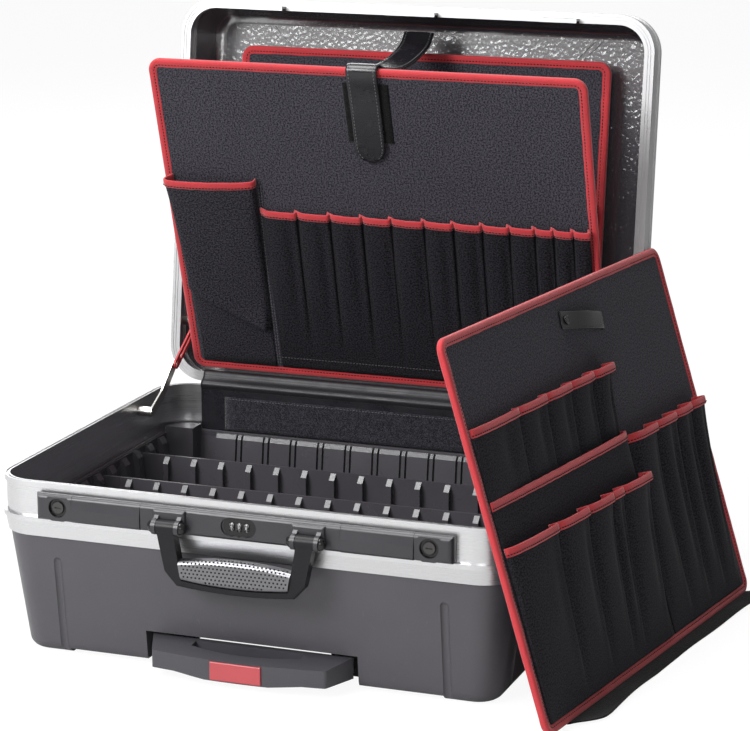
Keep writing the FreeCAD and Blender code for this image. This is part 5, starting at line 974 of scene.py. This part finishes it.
class ToolcaseColours(bpy.types.PropertyGroup):
    """Colours of the case, linear."""

    shell: colour_setting("Shell", "Moulded shell and lid", (0.068, 0.064, 0.073))
    strip: colour_setting("Lock strip", "Lock strip, caps and levers", (0.034, 0.033, 0.038))
    aluminium: colour_setting("Frames", "Aluminium frames", (0.68, 0.68, 0.69))
    cloth: colour_setting("Cloth", "Panels of the tool boards", (0.04, 0.037, 0.047))
    binding: colour_setting("Binding", "Sewn edge and mouth tapes", (0.5, 0.034, 0.042))
    button: colour_setting("Button", "Release button of the trolley grip", (0.46, 0.07, 0.08))


class ToolcaseSizes(bpy.types.PropertyGroup):
    """Sizes of the sewn and small pieces."""

    pleat_depth: size_setting("Pleat depth", "How far the front board's pockets stand out",
                              0.0078)
    pleat_overhang: size_setting("Pleat overhang", "How far a pocket folds over its own seam",
                                 0.003)
    dot_radius: size_setting("Grip dot radius", "Radius of the raised dots on the handle's grip",
                             0.0011)
    digit_height: size_setting("Digit size", "Size of the dials' digits", 0.0036)


class TOOLCASE_OT_finishes(bpy.types.Operator):
    """Makes the finishes and gives each rigid node its own"""

    bl_idname = "toolcase.finishes"
    bl_label = "Rigid finishes"

    def execute(self, context):
        FINISHES.update(make_finishes(context.scene.toolcase_colours))
        for finish, names in NODE_FINISHES.items():
            for name in names:
                slots = frame["nodes"][name].data.materials
                slots.clear()
                slots.append(FINISHES[finish])
        return {"FINISHED"}


class TOOLCASE_OT_front_board(bpy.types.Operator):
    """Sews the front board: panel, binding, pocket row, holster and patch"""

    bl_idname = "toolcase.front_board"
    bl_label = "Front board"

    def execute(self, context):
        sizes = context.scene.toolcase_sizes
        body = "front_board"
        stand = BOARDS[body][0]
        sewn_board("front", body)
        row = pleated(*FRONT_ROW, sizes.pleat_depth / MM, sizes.pleat_overhang / MM)
        sewn_row("front_row", body, row, ("front_board_pockets", "front_board_trims"),
                 hem_seam=True)
        holster = Row(8, HOLSTER_HEIGHTS, HOLSTER_MOUTH_ENDS, [np.array(HOLSTER_MOUTH)], 64,
                      HOLSTER_FOOT_ENDS)
        sewn_row("front_holster", body, holster, ("front_board_holster",),
                 crease=holster_crease, finish="holster", rows=130)
        for index, shift in enumerate(HOLSTER_SEAM_SHIFTS):
            straight_seam(f"front_holster_side_seam_{index}", body, stand,
                          *((u + shift, v) for u, v in HOLSTER_SEAM), 1.7)
        dress(patch("front_hook_patch", stand, *HOOK_PATCH, BOARD + 0.6, 1.4), body, "hooks",
              "hook_loop", "front_board_patch")
        return {"FINISHED"}


class TOOLCASE_OT_rear_board(bpy.types.Operator):
    """Sews the rear board: panel, binding and pocket row"""

    bl_idname = "toolcase.rear_board"
    bl_label = "Rear board"

    def execute(self, context):
        sewn_board("rear", "rear_board")
        sewn_row("rear_row", "rear_board", pleated(*REAR_ROW),
                 ("rear_board_pockets", "rear_board_trims"), hem_seam=True)
        return {"FINISHED"}


class TOOLCASE_OT_loose_board(bpy.types.Operator):
    """Sews the loose board: panel, binding, three tiers, side pockets, loop and floor flap"""

    bl_idname = "toolcase.loose_board"
    bl_label = "Loose board"

    def execute(self, context):
        body = "loose_board"
        sewn_board("loose", body)
        sewn_row("loose_tier_top", body, pleated(*TOP_TIER),
                 ("loose_board_upper_pockets", "loose_board_trims"), TOP_TIER_HEM)
        width = TIERS_RIGHT - TIERS_LEFT
        bow = np.array([*((TIERS_LEFT + share * width, depth) for share, depth in WIDE_TIER_MOUTH),
                        (TIERS_RIGHT + 1.0, 6.0), (TIERS_RIGHT, 0.4)])
        wide = Row(17, WIDE_TIER_HEIGHTS, (TIERS_LEFT, TIERS_RIGHT), [bow], 90)
        sewn_row("loose_tier_wide", body, wide, ())

        def on_wide(u, v):
            """Depth of the wide pocket's cloth under the lower tier."""
            q = wide.height_share(v)
            return (1.4 + np.interp(u, wide.mouth[:70, 0], wide.mouth[:70, 1]) * q ** RISE
                    * (1.0 + BELLY * np.sin(math.pi * q ** RISE)) * (u < TIERS_RIGHT - 4.0))

        sewn_row("loose_tier_low", body, pleated(*LOW_TIER, base=on_wide),
                 ("loose_board_lower_pockets",))
        sewn_row("loose_side", body, pleated(*SIDE_ROW), ("loose_board_side_pockets",))
        self.loop(BOARDS[body][0], body)
        self.flap(body)
        return {"FINISHED"}

    def loop(self, stand, body):
        """The leather loop: a squared-up oval carried along a low arch, turned about its
        left end, with a snap there: a ring carried up a domed profile."""
        line = resampled(rounded(np.array(LOOP_ARCH)), 60)
        left = left_of(line)
        turn = circle(20)
        out = 0.95 * power_wave(np.cos(turn), 0.5)
        across = 9.0 * power_wave(np.sin(turn), 0.35)
        u = line[:, 0, None] + left[:, 0, None] * out - LOOP_END
        w = BOARD + 1.6 + line[:, 1, None] + left[:, 1, None] * out
        end = LOOP_END - LOOSE_SIZE[0] / 2
        turned_u = end + u * math.cos(LOOP_DIP) - across * math.sin(LOOP_DIP)
        turned_v = LOOP_HEIGHT + u * math.sin(LOOP_DIP) + across * math.cos(LOOP_DIP)
        strip = surface("loose_leather_loop", stand.put(turned_u, turned_v, w),
                        wrap_columns=True)
        dress(strip, body, "strap", "black_vinyl", "loose_board_loop")
        radius, dome = (np.array(part)[:, None] for part in (SNAP_RADII, SNAP_HEIGHTS))
        spin = circle(28)
        snap = surface("loose_loop_snap", stand.put(
            end + radius * np.cos(spin), LOOP_HEIGHT + radius * np.sin(spin),
            BOARD + 2.9 + dome), wrap_columns=True)
        dress(snap, body, "gloss", "black_plastic")

    def flap(self, body):
        """The flap lying out from the board's foot: a strip whose width falls and grows
        again along it, tapers at its near end and lifts in long shallow waves."""
        corner = np.array([*LOOSE_CORNER, 0.0])
        near = (BOARD + TAPE_PROUD) * math.cos(LOOSE_LEAN) - 3.2
        u = np.linspace(*FLAP_ENDS, 130)[:, None]
        share = np.linspace(0.0, 1.0, 16)[None]
        run = np.clip((u - 90.0) / 413.0, 0.0, 1.0)
        width = (16.0 + 11.0 * (1.0 - run) ** 3 + 10.0 * run ** 3) * smooth(
            (u - 36.0) / 44.0) ** 0.6
        lift = (1.4 + 1.6 * np.sin(u / 61.0) + 0.8 * np.sin(u / 23.0 + 1.0)) * share ** 1.5
        far_end = 4.0 * smooth((u - 462.0) / 40.0) * share
        z = 0.9 + np.maximum(lift, 0.0) + far_end
        points = (corner + LOOSE_ALONG * u[..., None] + LOOSE_OUT * (near + width * share)[
            ..., None] + np.array([0.0, 0.0, 1.0]) * z[..., None])
        cloth = thickened(surface("loose_floor_flap", points[::-1]), 1.4)
        dress(cloth, body, "hooks", "black_fabric", "loose_board_flap")


class TOOLCASE_OT_strap(bpy.types.Operator):
    """Makes the leather strap from the lid over the front board's top"""

    bl_idname = "toolcase.strap"
    bl_label = "Retaining strap"

    def execute(self, context):
        """The strap: a crowned strip with a round tip, carried along a line that sags from
        the lid to the board's top, bends over it and lies down its face."""
        stand, (_, height), _ = BOARDS["front_board"]

        def on_board(v, w):
            """A board place as (y, z)."""
            return stand.put(0.0, height + v, w)[1:]

        start = lid_point(*STRAP_START)[1:]
        crest = on_board(3.4, -1.0)
        corners = np.array([
            start, start + np.array([-16.0, -16.0]), (start + crest) / 2 + np.array([0.0, -21.0]),
            crest + np.array([24.0, -8.0]), crest, on_board(3.6, 3.0), on_board(1.2, 8.6),
            on_board(-8.0, 9.4), on_board(-30.0, 7.6), on_board(-106.0, 7.4)])
        line = resampled(rounded(corners, 4), 150)
        run = run_of(line)
        tip = run[-1] - run
        from_round = np.clip(1.0 - tip / STRAP_HALF, 0.0, 1.0)
        half = STRAP_HALF * np.sqrt(np.clip(1.0 - from_round ** 2, 0.0004, 1.0))
        normal = -left_of(line)
        across = np.linspace(-1.0, 1.0, 22)
        crown = 0.35 * (1.0 - across ** 4)
        points = np.stack([STRAP_MIDDLE + half[:, None] * across,
                           line[:, 0, None] + normal[:, 0, None] * crown,
                           line[:, 1, None] + normal[:, 1, None] * crown], -1)
        strap = thickened(surface("lid_strap_leather", points), 2.4)
        strap.data.materials.append(FINISHES["strap"])
        pieces = [strap]
        edge = np.clip(half - 3.0, 0.4, None)
        keep = tip > 4.0
        seam_normal = np.column_stack([np.zeros(len(tip)), normal])[keep]
        for word, side in (("left", -1.0), ("right", 1.0)):
            seam_line = np.column_stack([STRAP_MIDDLE + side * edge, line + normal * 1.35])[keep]
            seam = stitch_row(f"lid_strap_seam_{word}", seam_line, seam_normal, 2.6, 0.42, 3.9)
            seam.data.materials.append(FINISHES["dark_thread"])
            pieces.append(seam)
        for made in pieces:
            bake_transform(made)
        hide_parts("retaining_strap")
        return {"FINISHED"}


class TOOLCASE_OT_rear_wall(bpy.types.Operator):
    """Lines the rear wall with vinyl and its loop patch, and covers the hinge line"""

    bl_idname = "toolcase.rear_wall"
    bl_label = "Rear wall and hinge cover"

    def execute(self, context):
        stand = Stand((0.0, WALL_PLANE, 0.0), (1.0, 0.0, 0.0), (0.0, 0.0, 1.0))
        heights = {name: tuple(corner.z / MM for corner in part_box(name))
                   for name in ("rear_wall_panel", "rear_patch")}
        wall = patch("wall_vinyl", stand, (-WALL_HALF, WALL_HALF), heights["rear_wall_panel"],
                     0.0, 1.4)
        dress(wall, "lower_case", "vinyl", "black_vinyl", "rear_wall_panel")
        low, high = heights["rear_patch"]
        loop = patch("wall_loop_patch", stand, (-WALL_PATCH_HALF, WALL_PATCH_HALF), (low, high),
                     1.0, 1.6)
        dress(loop, "lower_case", "pile", "hook_loop", "rear_patch")
        left, right = 2.0 - WALL_PATCH_HALF, WALL_PATCH_HALF - 2.0
        foot, top = low + 2.0, high - 2.0
        for index, (start, end) in enumerate((((left, top), (right, top)),
                                              ((left, foot), (left, top)),
                                              ((right, foot), (right, top)))):
            straight_seam(f"wall_patch_seam_{index}", "lower_case", stand, start, end, -1.3)
        self.cover()
        return {"FINISHED"}

    def cover(self):
        """The cover: a strip carried over the hinge line, with shallow puckers across it."""
        corners = np.vstack([COVER_ON_CASE, [lid_point(t, d)[1:] for t, d in COVER_ON_LID]])
        line = resampled(rounded(corners, 5), 36)
        left = left_of(line)
        x = np.linspace(-WALL_HALF, WALL_HALF, 180)[:, None]
        share = np.linspace(0.0, 1.0, 36)[None]
        pucker = 0.12 * ripples(x, share * 30.0, 60.0, 41) * np.sin(math.pi * share)
        points = np.stack(np.broadcast_arrays(
            x, line[:, 0] + left[:, 0] * pucker, line[:, 1] + left[:, 1] * pucker), -1)
        cloth = thickened(surface("hinge_cover_vinyl", points), 1.1)
        cloth.data.materials.append(FINISHES["cover"])
        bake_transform(cloth)
        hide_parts("hinge_cover")


class TOOLCASE_OT_small_parts(bpy.types.Operator):
    """Raises the dots on the handle's grip and puts the digits on the dials"""

    bl_idname = "toolcase.small_parts"
    bl_label = "Grip dots and dial digits"

    def execute(self, context):
        sizes = context.scene.toolcase_sizes
        self.dots(sizes.dot_radius / MM)
        for name in DIALS:
            self.digits(name, sizes.digit_height)
        return {"FINISHED"}

    def dots(self, radius):
        """Domes of four rings, each where a line of a slanting grid of lines first meets the
        grip's front and top."""
        grip = frame["nodes"]["handle_grip"].data
        tree = BVHTree.FromPolygons([v.co for v in grip.vertices],
                                    [tuple(p.vertices) for p in grip.polygons])
        low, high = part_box("handle_grip")
        aim, rise = Vector((0.0, 0.8, -0.6)), Vector((0.0, 0.6, 0.8))
        middle = (low + high) / 2
        rim, pitch_x, pitch_z = 0.004, 0.0042, 0.0030
        columns = int((high.x - low.x - 2 * rim) / pitch_x / 2)
        places, normals = [], []
        for line in range(-4, 5):
            shift = (0.5 if line % 2 else 0.0) * pitch_x
            for column in range(-columns, columns + 1):
                start = (middle + rise * (line * pitch_z) - aim * 0.05
                         + Vector((column * pitch_x + shift, 0.0, 0.0)))
                hit, normal, _, _ = tree.ray_cast(start, aim, 0.1)
                if (hit is not None and normal.dot(aim) <= -0.6
                        and low.x + rim <= hit.x <= high.x - rim):
                    places.append(hit)
                    normals.append(normal)
        up = unit(np.array(normals))
        side = unit(np.cross(up, np.array([1.0, 0.0, 0.0])))
        ring = np.array([1.0, 0.86, 0.5, 0.08])[:, None] * radius
        height = np.array([-0.25, 0.35, 0.62, 0.72])[:, None] * radius
        turn = circle(8)
        made = studs("grip_dots", (np.array(places) - CASE_MIDDLE) / MM,
                     (up, side, np.cross(side, up)),
                     (height, ring * np.cos(turn), ring * np.sin(turn)))
        dress(made, "carry_handle", "dots", "dotted_metal")

    def digits(self, name, size):
        """Ten digits standing round a dial, one on each of its faces."""
        low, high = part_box(name)
        out = Matrix.Translation((0.0, (low.z - high.z) / 2, 0.0)) @ Matrix.Rotation(
            math.pi / 2, 4, "X")
        points, faces = [], []
        for number in range(10):
            curve = bpy.data.curves.new(f"{name}_digit", "FONT")
            curve.body = str(number)
            curve.size = size
            curve.extrude = 0.00008
            curve.resolution_u = 3
            curve.align_x = "CENTER"
            curve.align_y = "CENTER"
            text = bpy.data.objects.new(f"{name}_digit", curve)
            mesh = bpy.data.meshes.new_from_object(text)
            mesh.transform(Matrix.Translation((low + high) / 2)
                           @ Matrix.Rotation(math.tau * number / 10, 4, "X") @ out)
            first = len(points)
            points += [tuple(v.co) for v in mesh.vertices]
            faces += [[first + k for k in p.vertices] for p in mesh.polygons]
            bpy.data.batch_remove((text, curve, mesh))
        made = piece(f"{name}_digits", (np.array(points) - CASE_MIDDLE) / MM, faces)
        made.data.polygons.foreach_set("use_smooth", np.zeros(len(faces), dtype=bool))
        dress(made, name, "digit", "dial_plastic")


# Lamps: name, place and side in metres, and power in watts
LAMPS = (
    ("front_softbox", (-1.6, -2.7, 2.1), 1.5, 118.0),
    ("top_softbox", (-0.95, -0.5, 3.1), 1.6, 84.0),
    ("right_softbox", (0.9, -3.1, 1.5), 1.0, 20.0),
    ("back_softbox", (-1.6, 2.5, 2.3), 1.6, 40.0),
)
CAMERA_AT = (1048.4, -2669.2, 963.5)
CAMERA_TARGET = (63.6, -17.0, 282.2)
CAMERA_LENS = 137.4
SENSOR_WIDTH = 36.0
WHITE = (1.0, 1.0, 1.0, 1.0)
FLOOR_REACH = 14000.0
FLOOR_DROP = -0.2
FLOOR_WHITE = 1.13
FLOOR_WHITE_SHARE = 0.82
WORLD_LIGHT = 0.17
WORLD_MIRRORED = 0.35


def aimed(name, data, place, target):
    """A lamp or camera put at a place, looking at the target."""
    made = bpy.data.objects.new(name, data)
    made.location = place
    made.rotation_euler = (target - made.location).to_track_quat("-Z", "Y").to_euler()
    bpy.context.scene.collection.objects.link(made)
    return made


def ray(tree, kind):
    """One where a ray is of a kind, else zero."""
    return node(tree, "LightPath", {}, f"Is {kind} Ray")


def show(tree, output, share, first, second):
    """Shows a mix of two shaders."""
    mix = node(tree, "MixShader", {0: share, 1: Value(tree, first.outputs[0]), 2: second})
    tree.links.new(mix.socket, tree.nodes[output].inputs["Surface"])


class TOOLCASE_OT_stage(bpy.types.Operator):
    """Sets the floor, the soft boxes, the white surroundings and the camera"""

    bl_idname = "toolcase.stage"
    bl_label = "Stage"

    def execute(self, context):
        scene = context.scene
        scene.view_settings.view_transform = "Standard"
        self.floor()
        self.surroundings(scene)
        target = Vector(CASE_MIDDLE) + Vector(CAMERA_TARGET) * MM
        for name, place, size, power in LAMPS:
            lamp = bpy.data.lights.new(name, "AREA")
            lamp.shape = "SQUARE"
            lamp.size = size
            lamp.energy = power
            aimed(name, lamp, place, target)
        lens = bpy.data.cameras.new("product_camera")
        lens.sensor_fit = "HORIZONTAL"
        lens.sensor_width = SENSOR_WIDTH
        lens.lens = CAMERA_LENS
        scene.camera = aimed("product_camera", lens,
                             Vector(CASE_MIDDLE) + Vector(CAMERA_AT) * MM, target)
        return {"FINISHED"}

    def floor(self):
        """A wide pale floor that the camera sees mostly as plain white, with the shadow."""
        reach = np.linspace(-FLOOR_REACH, FLOOR_REACH, 9)
        x, y = np.meshgrid(reach, reach, indexing="ij")
        ground = surface("studio_floor", np.stack([x, y, np.full(x.shape, FLOOR_DROP)], -1))
        made = bpy.data.materials.new("studio_floor")
        made.use_nodes = True
        tree, shader = made.node_tree, principled(made)
        shader.inputs["Base Color"].default_value = (0.6, 0.6, 0.6, 1.0)
        shader.inputs["Roughness"].default_value = 0.7
        shader.inputs["Specular IOR Level"].default_value = 0.2
        show(tree, "Material Output", ray(tree, "Camera") * FLOOR_WHITE_SHARE, shader,
             node(tree, "Emission", {"Color": WHITE, "Strength": FLOOR_WHITE}))
        ground.data.materials.append(made)

    def surroundings(self, scene):
        """A world that is white to the camera and in reflections, and softer as light."""
        scene.world = bpy.data.worlds.new("studio")
        scene.world.use_nodes = True
        tree = scene.world.node_tree
        light = tree.nodes["Background"]
        light.inputs["Color"].default_value = WHITE
        light.inputs["Strength"].default_value = WORLD_LIGHT
        seen = ray(tree, "Camera").calc("MAXIMUM", ray(tree, "Glossy") * WORLD_MIRRORED)
        show(tree, "World Output", seen.calc("MAXIMUM", ray(tree, "Transmission")), light,
             node(tree, "Background", {"Color": WHITE, "Strength": 1.0}))


OPERATORS = (TOOLCASE_OT_finishes, TOOLCASE_OT_stage, TOOLCASE_OT_front_board,
             TOOLCASE_OT_rear_board, TOOLCASE_OT_loose_board, TOOLCASE_OT_strap,
             TOOLCASE_OT_rear_wall, TOOLCASE_OT_small_parts)


class TOOLCASE_PT_sidebar(bpy.types.Panel):
    """Lists the case's colours, sizes and pieces"""

    bl_idname = "TOOLCASE_PT_sidebar"
    bl_label = "Tool case"
    bl_space_type = "VIEW_3D"
    bl_region_type = "UI"
    bl_category = "Tool case"

    def draw(self, context):
        for group in (context.scene.toolcase_colours, context.scene.toolcase_sizes):
            for name in group.bl_rna.properties.keys():
                if name not in ("rna_type", "name"):
                    self.layout.prop(group, name)
        for operator in OPERATORS:
            self.layout.operator(operator.bl_idname)


CLASSES = (ToolcaseColours, ToolcaseSizes, *OPERATORS, TOOLCASE_PT_sidebar)


def register():
    """Registers the classes and the scene's settings."""
    for item in CLASSES:
        bpy.utils.register_class(item)
    bpy.types.Scene.toolcase_colours = PointerProperty(type=ToolcaseColours)
    bpy.types.Scene.toolcase_sizes = PointerProperty(type=ToolcaseSizes)


def unregister():
    """Takes the settings and the classes out again."""
    del bpy.types.Scene.toolcase_colours
    del bpy.types.Scene.toolcase_sizes
    for item in reversed(CLASSES):
        bpy.utils.unregister_class(item)


def main():
    """Builds the stage and every piece."""
    register()
    for operator in OPERATORS:
        getattr(bpy.ops.toolcase, operator.bl_idname.split(".")[1])()


if __name__ == "__main__":
    main()
